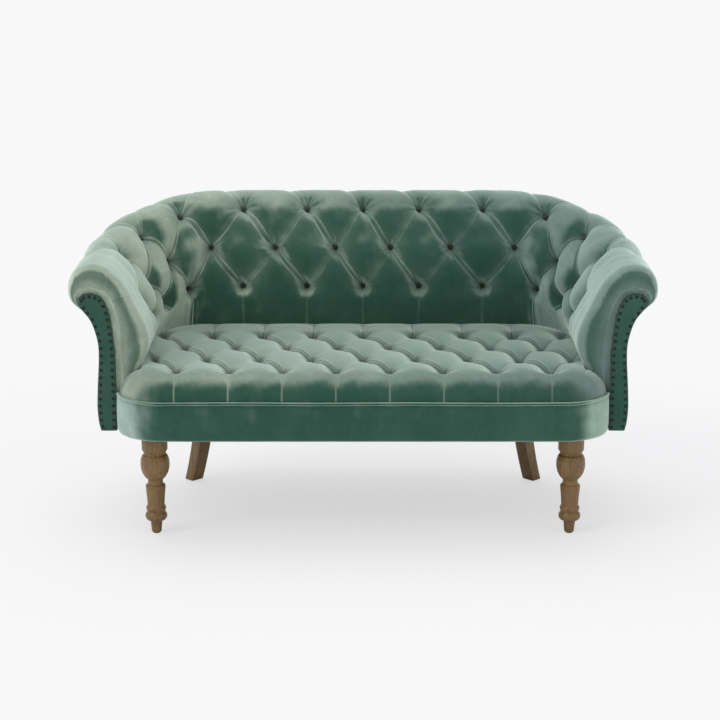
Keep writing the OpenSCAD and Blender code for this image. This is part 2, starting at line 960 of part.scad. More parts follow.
function seat_rear(x) =
    let (over = max(abs(x) - bend_x, 0), r = rear_r - pad_foot - seam)
    abs(x) > inner_w + tiny ? face_y - seam
    : bend_y + sqrt(max(r * r - over * over, 0));

// Distance from the front edge of the pad, round its corners
function from_edge(x, y) =
    abs(x) > corner_x && y < corner_y
        ? front_r - edge_in - norm([abs(x) - corner_x, corner_y - y])
        : y < corner_y ? y - front_y - edge_in : edge_round;

function seat_top(x, y) =
    let (
        d = held(from_edge(x, y) / edge_round, 0, 1),
        v = held((y - first_row) / row_pitch, 0, seat_rows - 1),
        u = x / seat_pitch + 0.5,
        back_fade = held((seat_rear(x) - y) / seat_dy, 0, 1),
        side_fade = held((inner_w + wing / 2 - abs(x)) / (seat_pitch / 2), 0, 1),
        dip = seat_tuft * (1 - puff(u, v)) * min(1.4 * d, 1) * min(0.35 + back_fade, 1) * side_fade,
        rim = 0.09 * seat_tuft * (1 - back_fade)
    )
    pad_z + piping_r + (seat_h - pad_z - piping_r) * sqrt(1 - (1 - d) * (1 - d)) - dip - rim;

function line_held(x, j) =
    let (low = seat_front(x), high = seat_rear(x), y = seat_lines[j])
    j == 0 ? low : held(max(y, low + front_steps[min(j, len(front_steps) - 1)] * edge_round / 2 + j * tiny), low, high);

// Last line of a column that lies inside the outline
function last_line(x) =
    let (high = seat_rear(x))
    min([for (j = [0:len(seat_lines) - 1]) if (line_held(x, j) > high - 2 * seam) j]);

module seat_pad() {
    m = len(seat_cols);
    k = len(seat_lines);
    stops = [for (x = seat_cols) last_line(x)];
    tops = [
        for (i = [0:m - 1])
            for (j = [0:k - 1])
                let (x = seat_cols[i], y = j >= stops[i] ? seat_rear(x) : line_held(x, j))
                [x, y, seat_top(x, y)]
    ];
    feet_front = [for (i = [0:m - 1]) [seat_cols[i], seat_front(seat_cols[i]), pad_z]];
    feet_rear = [for (i = [0:m - 1]) [seat_cols[i], seat_rear(seat_cols[i]), pad_z]];
    skin = [
        for (i = [0:m - 2])
            for (j = [0:k - 2])
                let (
                    a = i * k + min(j, stops[i]),
                    b = i * k + min(j + 1, stops[i]),
                    c = (i + 1) * k + min(j + 1, stops[i + 1]),
                    d = (i + 1) * k + min(j, stops[i + 1]),
                    left = seat_cols[i] + seat_cols[i + 1] < 0,
                    v = (seat_lines[j] - first_row) / row_pitch,
                    u = seat_cols[left ? i + 1 : i] / seat_pitch + 0.5,
                    line = left ? u + v / 2 : u - v / 2,
                    crease = abs(line - round(line)) < tiny || v < 0,
                    along = left != crease
                )
                each along ? [[a, b, c], [a, c, d]] : [[a, b, d], [b, c, d]]
    ];
    f = m * k;
    r = f + m;
    front_wall = [
        for (i = [0:m - 2])
            each [[f + i, i * k, (i + 1) * k], [f + i, (i + 1) * k, f + i + 1]]
    ];
    rear_wall = [
        for (i = [0:m - 2])
            let (a = i * k + stops[i], b = (i + 1) * k + stops[i + 1])
            each [[r + i, b, a], [r + i, r + i + 1, b]]
    ];
    sides = [
        concat([f], [r], [for (j = [stops[0]:-1:0]) j]),
        concat([r + m - 1], [f + m - 1], [for (j = [0:stops[m - 1]]) (m - 1) * k + j])
    ];
    floor_face = [
        for (i = [0:m - 2])
            each [[f + i, f + i + 1, r + i + 1], [f + i, r + i + 1, r + i]]
    ];
    whole = [for (t = concat(skin, front_wall, rear_wall))
        if (t[0] != t[1] && t[1] != t[2] && t[0] != t[2]) t];
    color(velvet)
        polyhedron(points = concat(tops, feet_front, feet_rear), faces = concat(whole, sides, floor_face),
            convexity = 10);
}

module seat_buttons() {
    color(dark_velvet)
        for (row = [0:seat_rows - 1])
            for (i = [-4:4])
                let (
                    x = (row % 2 == 0 ? i + 0.5 : i) * seat_pitch,
                    y = first_row + row * row_pitch,
                    last = row == 3 ? 3 : row == 1 ? 4 : 3.5
                )
                if (abs(x) < (last + 0.1) * seat_pitch)
                    translate([x, y, seat_top(x, y)])
                    button(seat_neck_share);
}

// Border and piping run from one arm to the other

module seat_border() {
    color(velvet) {
        translate([-corner_x, front_y, rail_z])
            cube([2 * corner_x, cover_t, band_top - rail_z]);
        for (side = [-1, 1])
            translate([side * corner_x, corner_y, rail_z])
            rotate([0, 0, side > 0 ? -90 : 180])
            rotate_extrude(angle = 90, $fn = fine)
            translate([front_r - cover_t, 0])
            square([cover_t, band_top - rail_z]);
    }
}

module seat_piping() {
    z = band_top + piping_r;
    inset = piping_r / 2;
    sweep = 90 - asin((corner_y - face_y) / (front_r - inset));
    color(velvet) {
        translate([-corner_x, front_y + inset, z])
            rotate([0, 90, 0])
            cylinder(r = piping_r, h = 2 * corner_x, $fn = fine);
        for (side = [-1, 1])
            mirror([side < 0 ? 1 : 0, 0, 0])
            translate([corner_x, corner_y, z])
            rotate([0, 0, -90])
            rotate_extrude(angle = sweep, $fn = fine)
            translate([front_r - inset, 0])
            circle(r = piping_r, $fn = fine);
    }
}

// Outside panels, from the tacked edge under the roll to the bottom of the frame
out_top_shares = [[1.36, 1.9], [1.03, 2.34], [0.845, 2.8]];
panel_back_shares = [[1.275, 1.9], [0.967, 2.283], [0.8, 2.75]];
belly_shares = [[0.93, 1], [0.98, 0.81], [1.05, 0.593], [1.1, 0.33], [1.05, 0.134], [0.93, 0]];

function belly_run(top) =
    let (high = top - 4 * roll_r)
    concat(
        curl_run(out_top_shares, top),
        [[0.95 * tub_t, top - 3.4 * roll_r]],
        [for (p = belly_shares) [p[0] * tub_t, rail_z + p[1] * (high - rail_z)]]
    );

function panel_ring(top) =
    let (
        inner = concat(
            shifted(curl_run(panel_back_shares, top), fit),
            [[batten_w + fit, top - 3.6 * roll_r], [batten_w + fit, rail_z]]
        )
    )
    concat(inner, turned_back(belly_run(top)));

module outside_run(low, high) {
    swept([for (s = tub_stations(low, high)) raised(s, panel_ring(crest(s)))],
        split = len(panel_ring(couch_h)) - len(belly_run(couch_h)));
}

module outside_back() {
    color(velvet) outside_run(-station_at(pad_seam), station_at(pad_seam));
}

module outside_arm_left() {
    color(velvet) outside_run(-path_l, -station_at(pad_seam));
}

module outside_arm_right() {
    color(velvet) outside_run(station_at(pad_seam), path_l);
}

// Facings on the fronts of the arms

function facing_outline() =
    concat([[0, rail_z]], curl_run(curl_in_shares, arm_h), belly_run(arm_h));

module facing(side) {
    color(velvet) difference() {
        translate([side * half_w, face_y, 0])
            rotate([90, 0, 0])
            mirror([side > 0 ? 0 : 1, 0, 0])
            translate([0, 0, -facing_t])
            linear_extrude(height = facing_t)
            polygon(facing_outline());
        nail_bores(side);
    }
}

module facing_left() {
    facing(-1);
}

module facing_right() {
    facing(1);
}

// Point at the distance d along a run of points, moved inwards by the inset
function along(run, d, inset, i = 0) =
    let (l = norm(run[i + 1] - run[i]))
    d > l && i < len(run) - 2
        ? along(run, d - l, inset, i + 1)
        : let (t = (run[i + 1] - run[i]) / l) run[i] + d * t - inset * [-t[1], t[0]];

function run_length(run, i = 0) =
    i >= len(run) - 1 ? 0 : norm(run[i + 1] - run[i]) + run_length(run, i + 1);

nail_inset = 1.5 * nail_r;
nail_shank_r = 0.2 * nail_r;
nail_l = 0.8 * facing_t;

function nail_places() =
    let (
        run = concat([[0, rail_z]], curl_run(curl_in_shares, arm_h), belly_run(arm_h)),
        total = run_length(run) - nail_pitch,
        count = floor(total / nail_pitch)
    )
    [for (i = [0:count]) along(run, nail_pitch / 2 + i * total / count, nail_inset)];

module nail_bores(side) {
    for (p = nail_places())
        translate([side * (half_w + p[0]), face_y - overrun, p[1]])
        rotate([-90, 0, 0])
        cylinder(r = nail_shank_r + fit / 2, h = nail_l + fit + overrun, $fn = fine);
}

module nail() {
    rotate_extrude($fn = fine)
        polygon([
            [0, -nail_l], [nail_shank_r, -nail_l], [nail_shank_r, 0], [nail_r, 0],
            [0.75 * nail_r, 0.36 * nail_r], [0, 0.54 * nail_r]
        ]);
}

nail_batch = 7;

module facing_nails() {
    places = nail_places();
    color(metal)
        for (side = [-1, 1])
            for (first = [0:nail_batch:len(places) - 1])
                for (i = [first:min(first + nail_batch, len(places)) - 1])
                    translate([side * (half_w + places[i][0]), face_y, places[i][1]])
                    rotate([90, 0, 0])
                    nail();
}

front_rail();
front_corner_left();
front_corner_right();
side_rail_left();
side_rail_right();
rear_corner_left();
rear_corner_right();
back_rail();
seat_stretcher_left();
seat_stretcher_right();
rear_block_left();
rear_block_right();
rail_dowels();
front_leg_left();
front_leg_right();
rear_leg_left();
rear_leg_right();
leg_bolts();
leg_glides();
base_back();
base_corner_left();
base_corner_right();
base_arm_left();
base_arm_right();
arm_stump_left();
arm_stump_right();
back_rib_left();
back_rib_right();
back_post_left();
back_post_right();
corner_rib_left();
corner_rib_right();
side_post_left();
side_post_right();
top_rail_back();
top_rail_corner_left();
top_rail_corner_right();
top_rail_arm_left();
top_rail_arm_right();
tub_screws();
webbing_long();
webbing_cross();
seat_hessian();
tub_hessian();
seat_pad();
seat_buttons();
back_pad();
back_buttons();
arm_pad_left();
arm_pad_right();
arm_buttons();
seat_border();
seat_piping();
outside_back();
outside_arm_left();
outside_arm_right();
facing_left();
facing_right();
facing_nails();
dust_cover();
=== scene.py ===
import json
import math

import bmesh
import bpy
import numpy as np
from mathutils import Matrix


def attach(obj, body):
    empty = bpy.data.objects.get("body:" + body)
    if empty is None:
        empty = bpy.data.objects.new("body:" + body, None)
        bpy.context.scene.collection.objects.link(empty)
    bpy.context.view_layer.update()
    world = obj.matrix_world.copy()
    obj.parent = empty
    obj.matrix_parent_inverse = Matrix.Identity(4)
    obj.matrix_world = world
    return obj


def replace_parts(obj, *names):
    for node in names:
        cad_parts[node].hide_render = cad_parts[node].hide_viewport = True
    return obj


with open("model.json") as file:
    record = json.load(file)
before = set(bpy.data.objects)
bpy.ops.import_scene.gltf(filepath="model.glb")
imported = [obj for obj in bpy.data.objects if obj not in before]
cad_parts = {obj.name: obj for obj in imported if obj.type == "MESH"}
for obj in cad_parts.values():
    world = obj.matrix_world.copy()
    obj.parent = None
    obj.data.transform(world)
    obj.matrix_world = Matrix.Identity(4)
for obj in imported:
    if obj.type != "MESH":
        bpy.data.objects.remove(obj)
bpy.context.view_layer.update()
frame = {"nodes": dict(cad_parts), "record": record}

# Sizes of the couch in millimetres, the same as the solids
couch = {
    "width": 1520.0,
    "depth": 781.0,
    "backTop": 802.0,
    "armTop": 706.0,
    "seatTop": 446.0,
    "armSetback": 104.0,  # from the front of the border to the facings
    "frontCorner": 130.0,
    "rearCorner": 225.0,
    "roll": 60.0,  # radius of the scroll along the top of the tub
    "rollOut": 1.983,  # how far the scroll stands outside the path, in roll radii
    "fallFrom": 0.366,  # where the crest starts to fall, and for how long, as shares of the path
    "fallLength": 0.411,
    "tub": 45.0,
    "railBottom": 270.0,
    "bandTop": 366.0,
    "padBottom": 367.5,
    "piping": 4.0,
    "padFoot": 67.0,  # from the path to the feet of the pads inside it
    "facing": 6.0,
    "clothGap": 1.7,
    "beside": 1.0,  # clearance between the seat and what it meets
}
roll = couch["roll"]
reach = couch["rollOut"] * roll
halfWidth = couch["width"] / 2 - reach
frontY = -couch["depth"] / 2 + couch["piping"] / 2
backY = couch["depth"] / 2 - reach
rearCorner = couch["rearCorner"]
bendX = halfWidth - rearCorner
bendY = backY - rearCorner
arcLength = rearCorner * math.pi / 2
faceY = frontY + couch["armSetback"]
stumpY = faceY + couch["facing"]
cornerX = halfWidth - couch["frontCorner"]
cornerY = frontY + couch["frontCorner"]
pathLength = bendX + arcLength + bendY - stumpY
padEnd = pathLength + couch["facing"]


# Angle of the way outwards: a quarter turn along the back, less round the corner, none on the arms
def turnAt(s):
    return math.pi / 2 * (1 - np.clip((np.abs(s) - bendX) / arcLength, 0, 1))


# Side of a station: -1 on the left, 1 on the right and in the middle
def sideOf(s):
    return np.where(s < 0, -1.0, 1.0)


# Plan point of a station: along the back, round a quarter circle, then along the arm, n outside the path
def planPoint(s, n):
    along, turn = np.abs(s), turnAt(s)
    x = np.minimum(along, bendX) + (rearCorner + n) * np.cos(turn)
    y = bendY + (rearCorner + n) * np.sin(turn) - np.maximum(along - bendX - arcLength, 0)
    return sideOf(s) * x, y


# Height of the roll: level along the back, half a cosine wave down to the arms
def crestHeight(s):
    t = np.clip((np.abs(s) / pathLength - couch["fallFrom"]) / couch["fallLength"], 0, 1)
    return couch["armTop"] + (couch["backTop"] - couch["armTop"]) * (1 + np.cos(math.pi * t)) / 2


# Smooth curve through knots as a matrix: cubic pieces whose slopes are the differences of their neighbours
def curveWeights(knots, samples):
    knots, samples = np.asarray(knots, float), np.asarray(samples, float)
    eye = np.eye(len(knots))
    slopes = np.gradient(eye, knots, axis=0)
    i = np.clip(np.searchsorted(knots, samples, side="right") - 1, 0, len(knots) - 2)
    gap = (knots[i + 1] - knots[i])[:, None]
    t = ((samples - knots[i]) / gap[:, 0])[:, None]
    return (
        (2 * t**3 - 3 * t**2 + 1) * eye[i]
        + (t**3 - 2 * t**2 + t) * gap * slopes[i]
        + (3 * t**2 - 2 * t**3) * eye[i + 1]
        + (t**3 - t**2) * gap * slopes[i + 1]
    )


# A step from 0 to 1 between two values, level at both ends: 3 t squared less 2 t cubed
def smoothStep(low, high, x):
    t = np.clip((x - low) / (high - low), 0, 1)
    return t * t * (3 - 2 * t)


# A hump of height 1 round 0: e to the power of minus the square of x over its width
def bell(x, width):
    return np.exp(-((x / width) ** 2))


# A number from 0 to 1 that looks random, from the fraction of a large sine
def scatter(a, b=0.0):
    return np.modf(np.abs(np.sin(a * 12.9898 + b * 78.233 + 4.1) * 43758.5453))[0]


# Gentle unevenness: a few long sine waves of different directions added up
def unevenness(x, y, z, length, seed=0.0, waves=6):
    total = np.zeros(np.broadcast(x, y, z).shape)
    for k in range(waves):
        chance = [scatter(k, seed + j) for j in range(1, 6)]
        way = np.array(chance[:3]) - 0.5
        way = way / np.linalg.norm(way) * 2 * math.pi / (length * (0.6 + 0.9 * chance[3]))
        total = total + np.sin(way[0] * x + way[1] * y + way[2] * z + 6.28 * chance[4])
    return total / waves


# Normals of a grid of points: the cross product of its two differences
def gridNormals(points):
    normal = np.cross(np.gradient(points, axis=0), np.gradient(points, axis=1))
    return normal / np.maximum(np.linalg.norm(normal, axis=2, keepdims=True), 1e-9)


# Normals at the points from these faces alone, so that end caps don't turn those at the edges
def smoothNormals(points, faces):
    first, second, third = points[faces[:, 0]], points[faces[:, 1]], points[faces[:, 2]]
    across = np.cross(second - first, third - first)
    total = np.stack([
        sum(np.bincount(faces[:, k], across[:, axis], len(points)) for k in range(3)) for axis in range(3)
    ], -1)
    return total / np.maximum(np.linalg.norm(total, axis=1, keepdims=True), 1e-12)


# Painted sheen standing in for the velvet's: a surface that faces along one of these ways looks dark, and one
# turned away is painted pale
sheenPaintLook = {
    "ways": np.array([[0.0, -0.97, 0.243], [0.0, -0.99, -0.14]], np.float32),
    "turned": (0.78, 0.985),  # cosines to the nearest way between which pale becomes dark
    "brushed": 0.05,
    "brushLengths": (70.0, 28.0),
    "levelDark": 0.45,  # share of the paleness that level surfaces lose
}


# Painted sheen at each point, from 0 to 1: paler as its normal turns from the ways, less on level surfaces
# that face up, calmed or raised by the piece's own values
def sheenPaintAt(points, normals, values, look):
    long, short = look["brushLengths"]
    brushed = unevenness(*points.T, long, 21.0) + 0.5 * unevenness(*points.T, short, 5.0)
    cosine = np.abs(normals @ look["ways"].T).max(1)
    sheenPaint = 1 - smoothStep(*look["turned"], cosine + look["brushed"] * brushed)
    sheenPaint = sheenPaint * (1 - look["levelDark"] * np.clip(normals[:, 2], 0, 1) ** 3)
    calm, pale = (np.asarray(values.get(key, 0.0)).ravel() for key in ("calm", "pale"))
    return np.clip(np.maximum(sheenPaint * (1 - calm), pale), 0, 1)


# One mesh piece from points in millimetres. Its last flatCount faces are the flat ones of its ends
def meshPiece(name, points, faces, material, slot, flatCount=0, values=None):
    mesh = bpy.data.meshes.new(name)
    points = np.asarray(points, float).reshape(-1, 3)
    faces, values = np.asarray(faces, np.int64), dict(values or {})
    corners = points[faces]
    volume = np.einsum("ij,ij->i", corners[:, 0], np.cross(corners[:, 1], corners[:, 2])).sum()
    if volume < 0:
        faces = faces[:, ::-1]
    smoothCount = len(faces) - flatCount
    # Velvet pieces carry their painted sheen, worked out from their normals, as a point attribute
    if slot == "velvet":
        values["nap"] = sheenPaintAt(points, smoothNormals(points, faces[:smoothCount]), values, sheenPaintLook)
    mesh.vertices.add(len(points))
    mesh.vertices.foreach_set("co", (points / 1000).astype(np.float32).ravel())
    mesh.loops.add(faces.size)
    mesh.loops.foreach_set("vertex_index", faces.astype(np.int32).ravel())
    mesh.polygons.add(len(faces))
    mesh.polygons.foreach_set("loop_start", np.arange(0, faces.size, faces.shape[1], dtype=np.int32))
    mesh.polygons.foreach_set("use_smooth", np.arange(len(faces)) < smoothCount)
    for key in ("fold", "nap"):
        if key in values:
            layer = mesh.attributes.new(key, "FLOAT", "POINT")
            layer.data.foreach_set("value", np.asarray(values[key], np.float32).ravel())
    mesh.update()
    mesh.validate(clean_customdata=False)
    piece = bpy.data.objects.new(name, mesh)
    bpy.context.scene.collection.objects.link(piece)
    mesh.materials.append(material)
    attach(piece, "root")
    return piece


# Triangles of a closed tube of points, each square cut along its lower diagonal so that creases stay sharp
def tubeFaces(rows, columns, height=None):
    index = np.arange(rows * columns).reshape(rows, columns)
    height = np.zeros(index.shape) if height is None else height
    index, height = (np.concatenate([grid, grid[:, :1]], axis=1) for grid in (index, height))
    a, b, c, d = index[:-1, :-1], index[1:, :-1], index[1:, 1:], index[:-1, 1:]
    acLow = (height[:-1, :-1] + height[1:, 1:] <= height[1:, :-1] + height[:-1, 1:])[..., None]
    first = np.where(acLow, np.stack([a, b, c], -1), np.stack([a, b, d], -1))
    second = np.where(acLow, np.stack([a, c, d], -1), np.stack([b, c, d], -1))
    return np.concatenate([first.reshape(-1, 3), second.reshape(-1, 3)])


# Fan that closes a ring of points, given by their numbers, round one middle point
def fanFaces(ring, middle, turned=False):
    following = np.roll(ring, -1)
    middle = np.full(len(ring), middle)
    return np.stack([middle, following, ring] if turned else [middle, ring, following], -1)


# Triangles that close a thin ring: its first side, up to the split, is sewn to the side that comes back
def sewnFaces(ring, split, turned=False):
    there, back = ring[:split], ring[split:][::-1]
    match = np.round(np.arange(len(there)) * (len(back) - 1) / max(len(there) - 1, 1)).astype(int)
    first = np.stack([there[:-1], there[1:], back[match[:-1]]], -1)
    steps = [
        (there[i + 1], back[k + 1], back[k])
        for i in range(len(there) - 1)
        for k in range(match[i], match[i + 1])
    ]
    faces = np.concatenate([first, np.array(steps, int).reshape(-1, 3)])
    return faces[:, ::-1] if turned else faces


# A closed piece from rings of points, one ring after another, its two ends sewn flat or closed by fans
def ringPiece(name, node, rings, material, slot, split=None, height=None, values=None):
    rows, count = rings.shape[:2]
    total = rows * count
    low, high = np.arange(count), np.arange(count) + (rows - 1) * count
    points = rings.reshape(-1, 3)
    if split is None:
        points = np.concatenate([points, [rings[0].mean(0), rings[-1].mean(0)]])
        ends = [fanFaces(low, total), fanFaces(high, total + 1, turned=True)]
    else:
        ends = [sewnFaces(low, split), sewnFaces(high, split, turned=True)]
    extra = len(points) - total
    faces = np.concatenate([tubeFaces(rows, count, height), *ends])
    values = {key: np.concatenate([field.ravel(), np.zeros(extra)]) for key, field in (values or {}).items()}
    piece = meshPiece(name, points, faces, material, slot, sum(map(len, ends)), values)
    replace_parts(piece, node)
    return piece


# A socket of a shader's node: sums written on it add their Math nodes
class Wire:
    def __init__(self, shading, socket):
        self.shading, self.socket = shading, socket

    def maths(self, kind, *terms):
        return self.shading.node("ShaderNodeMath", {"operation": kind}, list(terms))

    def __add__(self, other):
        return self.maths("ADD", self, other)

    __radd__ = __add__

    def __sub__(self, other):
        return self.maths("SUBTRACT", self, other)

    def __rsub__(self, other):
        return self.maths("SUBTRACT", other, self)

    def __mul__(self, other):
        return self.maths("MULTIPLY", self, other)

    __rmul__ = __mul__

    def clamped(self):
        return self.maths("MINIMUM", self.maths("MAXIMUM", self, 0.0), 1.0)


# Writes the nodes of one material or world
class Shading:
    def __init__(self, owner):
        self.owner = owner
        owner.use_nodes = True
        self.tree = owner.node_tree
        self.tree.nodes.clear()

    def node(self, kind, settings=None, inputs=None, output=0):
        node = self.tree.nodes.new(kind)
        for key, value in (settings or {}).items():
            if key == "stops":
                ramp = node.color_ramp
                while len(ramp.elements) < len(value):
                    ramp.elements.new(0.5)
                for element, (place, tint) in zip(ramp.elements, value):
                    element.position = place
                    element.color = tint
            else:
                setattr(node, key, value)
        pairs = enumerate(inputs) if isinstance(inputs, list) else (inputs or {}).items()
        for key, value in pairs:
            if isinstance(value, Wire):
                self.tree.links.new(value.socket, node.inputs[key])
            else:
                node.inputs[key].default_value = value
        return Wire(self, node.outputs[output]) if len(node.outputs) else node

    def coordinates(self):
        return self.node("ShaderNodeTexCoord", output="Object")

    def side(self):
        return self.node("ShaderNodeSeparateXYZ", inputs=[self.coordinates()])

    def noise(self, place, scale, detail, rough=0.5, warp=0.0):
        inputs = {"Vector": place, "Scale": scale, "Detail": detail, "Roughness": rough, "Distortion": warp}
        return self.node("ShaderNodeTexNoise", inputs=inputs)

    def stretched(self, place, scale):
        return self.node("ShaderNodeMapping", inputs={"Vector": place, "Scale": scale})

    def attribute(self, name):
        return self.node("ShaderNodeAttribute", {"attribute_name": name}, output="Fac")

    def blend(self, factor, first, second):
        inputs = {0: factor, 6: first, 7: second}  # the Mix node's sockets for colours, output 2 with them
        return self.node("ShaderNodeMix", {"data_type": "RGBA"}, inputs, output=2)

    def ramp(self, value, stops):
        return self.node("ShaderNodeValToRGB", {"stops": stops}, {"Fac": value})

    def band(self, value, low, high):
        return self.node(
            "ShaderNodeMapRange",
            {"interpolation_type": "SMOOTHSTEP"},
            {"Value": value, "From Min": low, "From Max": high, "To Min": 0.0, "To Max": 1.0},
        )

    def bump(self, height, strength, distance):
        inputs = {"Height": height, "Strength": strength, "Distance": distance}
        return self.node("ShaderNodeBump", inputs=inputs)

    def surface(self, **sockets):
        names = {key.replace("_", " "): value for key, value in sockets.items()}
        shader = self.node("ShaderNodeBsdfPrincipled", inputs=names)
        self.node("ShaderNodeOutputMaterial", inputs={"Surface": shader})
        return self.owner


# A colour given as it looks on a screen, from 0 to 255, turned into light
def colour(r, g, b):
    def linear(c):
        c = c / 255
        return c / 12.92 if c <= 0.04045 else ((c + 0.055) / 1.055) ** 2.4

    return (linear(r), linear(g), linear(b), 1.0)


velvetLook = {
    # deep is the colour of the painted shade in creases, button hollows and along the facings' edges, and of
    # the pile's dark specks
    "deep": colour(24, 42, 36),
    "body": colour(22, 72, 57),
    "pale": colour(42, 84, 70),
    "turned": [(0.0, colour(170, 183, 163)), (1.0, colour(118, 138, 134))],  # painted sheen colours, paler and warmer at the left end than at the right
    "ends": 0.7,  # metres from the middle to where the end colours are reached
    "shift": 0.0,
    "sheenPaintShare": 1.0,  # how much of the painted sheen shows
    # Share of the painted shade, and the band of its attribute over which it comes in
    "foldShade": 0.85,
    "pileShade": 0.15,
    "sheenTint": (0.84, 1.0, 0.92, 1.0),
    "sheenRoughness": 0.48,
    "sheenWeight": 1.0,
    "roughness": 0.85,
    "brushScale": 7.0,
    "patchScale": 26.0,
    "streakScale": (60.0, 60.0, 14.0),
    "brushShares": (0.5, 0.3, 0.2),  # of the broad brushing, the patches and the streaks
    "brushBand": (0.36, 0.7),
    "sheenPaintEven": 0.65,
    "sheenPaintBrushed": 0.4,
    "foldBand": (0.1, 1.0),
    "pileBand": (0.3, 0.75),
    "pileScale": 1400.0,
    "bump": 0.35,
    "pileHeight": 0.0012,
}


# Short-pile velvet: body colour brushed paler in patches, painted sheen paler where its attribute says and
# paler and warmer to the left, painted shade darker in the folds, with a pile bump and a sheen
def velvetMaterial(name, look, folds=True):
    m = Shading(bpy.data.materials.new(name))
    place = m.coordinates()
    brush = m.noise(place, look["brushScale"], detail=2.0, warp=0.6)
    patch = m.noise(place, look["patchScale"], detail=3.0, rough=0.6, warp=1.2)
    pile = m.noise(place, look["pileScale"], detail=2.0, rough=0.6)
    streak = m.noise(m.stretched(place, look["streakScale"]), 1.0, detail=3.0, rough=0.6, warp=0.8)
    broad, patchy, streaky = look["brushShares"]
    tone = brush * broad + patch * patchy + streak * streaky + (look["shift"] - 0.02)
    brushed = m.band(tone, *look["brushBand"])
    base = m.blend(brushed, look["body"], look["pale"])
    # Painted sheen: pale colours ramped from the left end to the right, mixed in as far as the nap attribute
    # says
    turned = m.ramp(m.band(m.side(), -look["ends"], look["ends"]), look["turned"])
    sheenPaint = m.attribute("nap") * (brushed * look["sheenPaintBrushed"] + look["sheenPaintEven"]) * look["sheenPaintShare"]
    base = m.blend(sheenPaint.clamped(), base, turned)
    # Painted shade in the creases, the button hollows and along the facings' edges
    if folds:
        base = m.blend(m.band(m.attribute("fold"), *look["foldBand"]) * look["foldShade"], base, look["deep"])
    base = m.blend(m.band(pile, *look["pileBand"]) * look["pileShade"], base, look["deep"])
    return m.surface(
        Base_Color=base,
        Roughness=brushed * -0.1 + look["roughness"],
        Normal=m.bump(pile * 0.35 + patch * 0.65, look["bump"], look["pileHeight"]),
        Sheen_Weight=look["sheenWeight"],
        Sheen_Roughness=look["sheenRoughness"],
        Sheen_Tint=look["sheenTint"],
        Specular_IOR_Level=0.25,
    )


woodLook = {
    "dark": colour(80, 58, 32),
    "mid": colour(121, 93, 52),
    "light": colour(148, 116, 72),
    "grain": (160.0, 160.0, 9.0),
    "pores": (900.0, 900.0, 45.0),
    "poreBand": (0.58, 0.72),
    "poreShade": 0.55,
    "tones": (0.28, 0.5, 0.72),  # places of dark, mid and light in the grain
    "roughness": 0.32,
    "coat": 0.25,
}


# Wood: rings stretched along the grain, pores as short dark dashes, under a thin coat of wax
def woodMaterial(name, look):
    m = Shading(bpy.data.materials.new(name))
    place = m.coordinates()
    bands = m.noise(place, 9.0, detail=2.0)
    rings = m.noise(m.stretched(place, look["grain"]), 1.0, detail=5.0, rough=0.65, warp=1.5)
    pores = m.band(m.noise(m.stretched(place, look["pores"]), 1.0, detail=2.0), *look["poreBand"])
    tone = (rings * 0.75 + bands * 0.25).clamped()
    tone = m.ramp(tone, [(at, look[key]) for at, key in zip(look["tones"], ("dark", "mid", "light"))])
    return m.surface(
        Base_Color=m.blend(pores * look["poreShade"], tone, look["dark"]),
        Roughness=rings * 0.2 + look["roughness"],
        Normal=m.bump(rings * 0.4 - pores * 0.6, 0.25, 0.0008),
        Coat_Weight=look["coat"],
        Coat_Roughness=0.3,
        Specular_IOR_Level=0.4,
    )


brassLook = {
    "dark": colour(12, 18, 14),
    "worn": colour(38, 42, 33),
    "patina": 260.0,
    "wornBand": (0.35, 0.7),
    "hammer": 700.0,
    "metal": 0.4,
}


# Dark antique brass: patina in patches over a hammered surface
def brassMaterial(name, look):
    m = Shading(bpy.data.materials.new(name))
    place = m.coordinates()
    patina = m.noise(place, look["patina"], detail=4.0, rough=0.6)
    return m.surface(
        Base_Color=m.blend(m.band(patina, *look["wornBand"]), look["dark"], look["worn"]),
        Roughness=patina * 0.3 + 0.3,
        Metallic=look["metal"],
        Normal=m.bump(m.noise(place, look["hammer"], detail=1.0), 0.5, 0.0006),
    )


# Plain woven cloth: two crossed waves as warp and weft, with slubs in the yarn
def weaveMaterial(name, light, dark, threads):
    m = Shading(bpy.data.materials.new(name))
    place = m.coordinates()
    warp, weft = (
        m.node(
            "ShaderNodeTexWave",
            {"wave_type": "BANDS", "bands_direction": way},
            {"Vector": place, "Scale": threads / 6.28},
            output="Fac",
        )
        for way in "XY"
    )
    cross = (warp * weft).clamped()
    slub = m.noise(place, 40.0, detail=4.0)
    return m.surface(
        Base_Color=m.blend((cross * 0.6 + slub * 0.4).clamped(), dark, light),
        Roughness=slub * 0.1 + 0.85,
        Normal=m.bump(cross, 0.5, 0.0006),
        Specular_IOR_Level=0.2,
    )


# Zinc or plastic: fine unevenness in colour and gloss
def plainMaterial(name, first, second, rough, metal=0.0):
    m = Shading(bpy.data.materials.new(name))
    spots = m.noise(m.coordinates(), 120.0, detail=4.0)
    return m.surface(
        Base_Color=m.blend(spots, first, second),
        Roughness=spots * 0.15 + rough,
        Metallic=metal,
        Normal=m.bump(spots, 0.2, 0.0004),
    )


# The velvet of each kind of piece: what differs from the seat's
# The turned colours are painted sheen, paler and warmer at the left end than at the right
tubShades = {
    "turned": [(0.0, colour(192, 206, 184)), (0.5, colour(147, 162, 149)), (1.0, colour(132, 154, 149))],
}
borderShades = {"turned": [(0.0, colour(160, 182, 174)), (1.0, colour(162, 190, 168))], "shift": 0.02}
facingShades = {"body": colour(26, 74, 58), "shift": 0.02}
outsideShades = {
    "turned": [(0.0, colour(124, 146, 132)), (1.0, colour(118, 142, 130))],
    "shift": 0.03,
    "sheenPaintShare": 0.6,
}
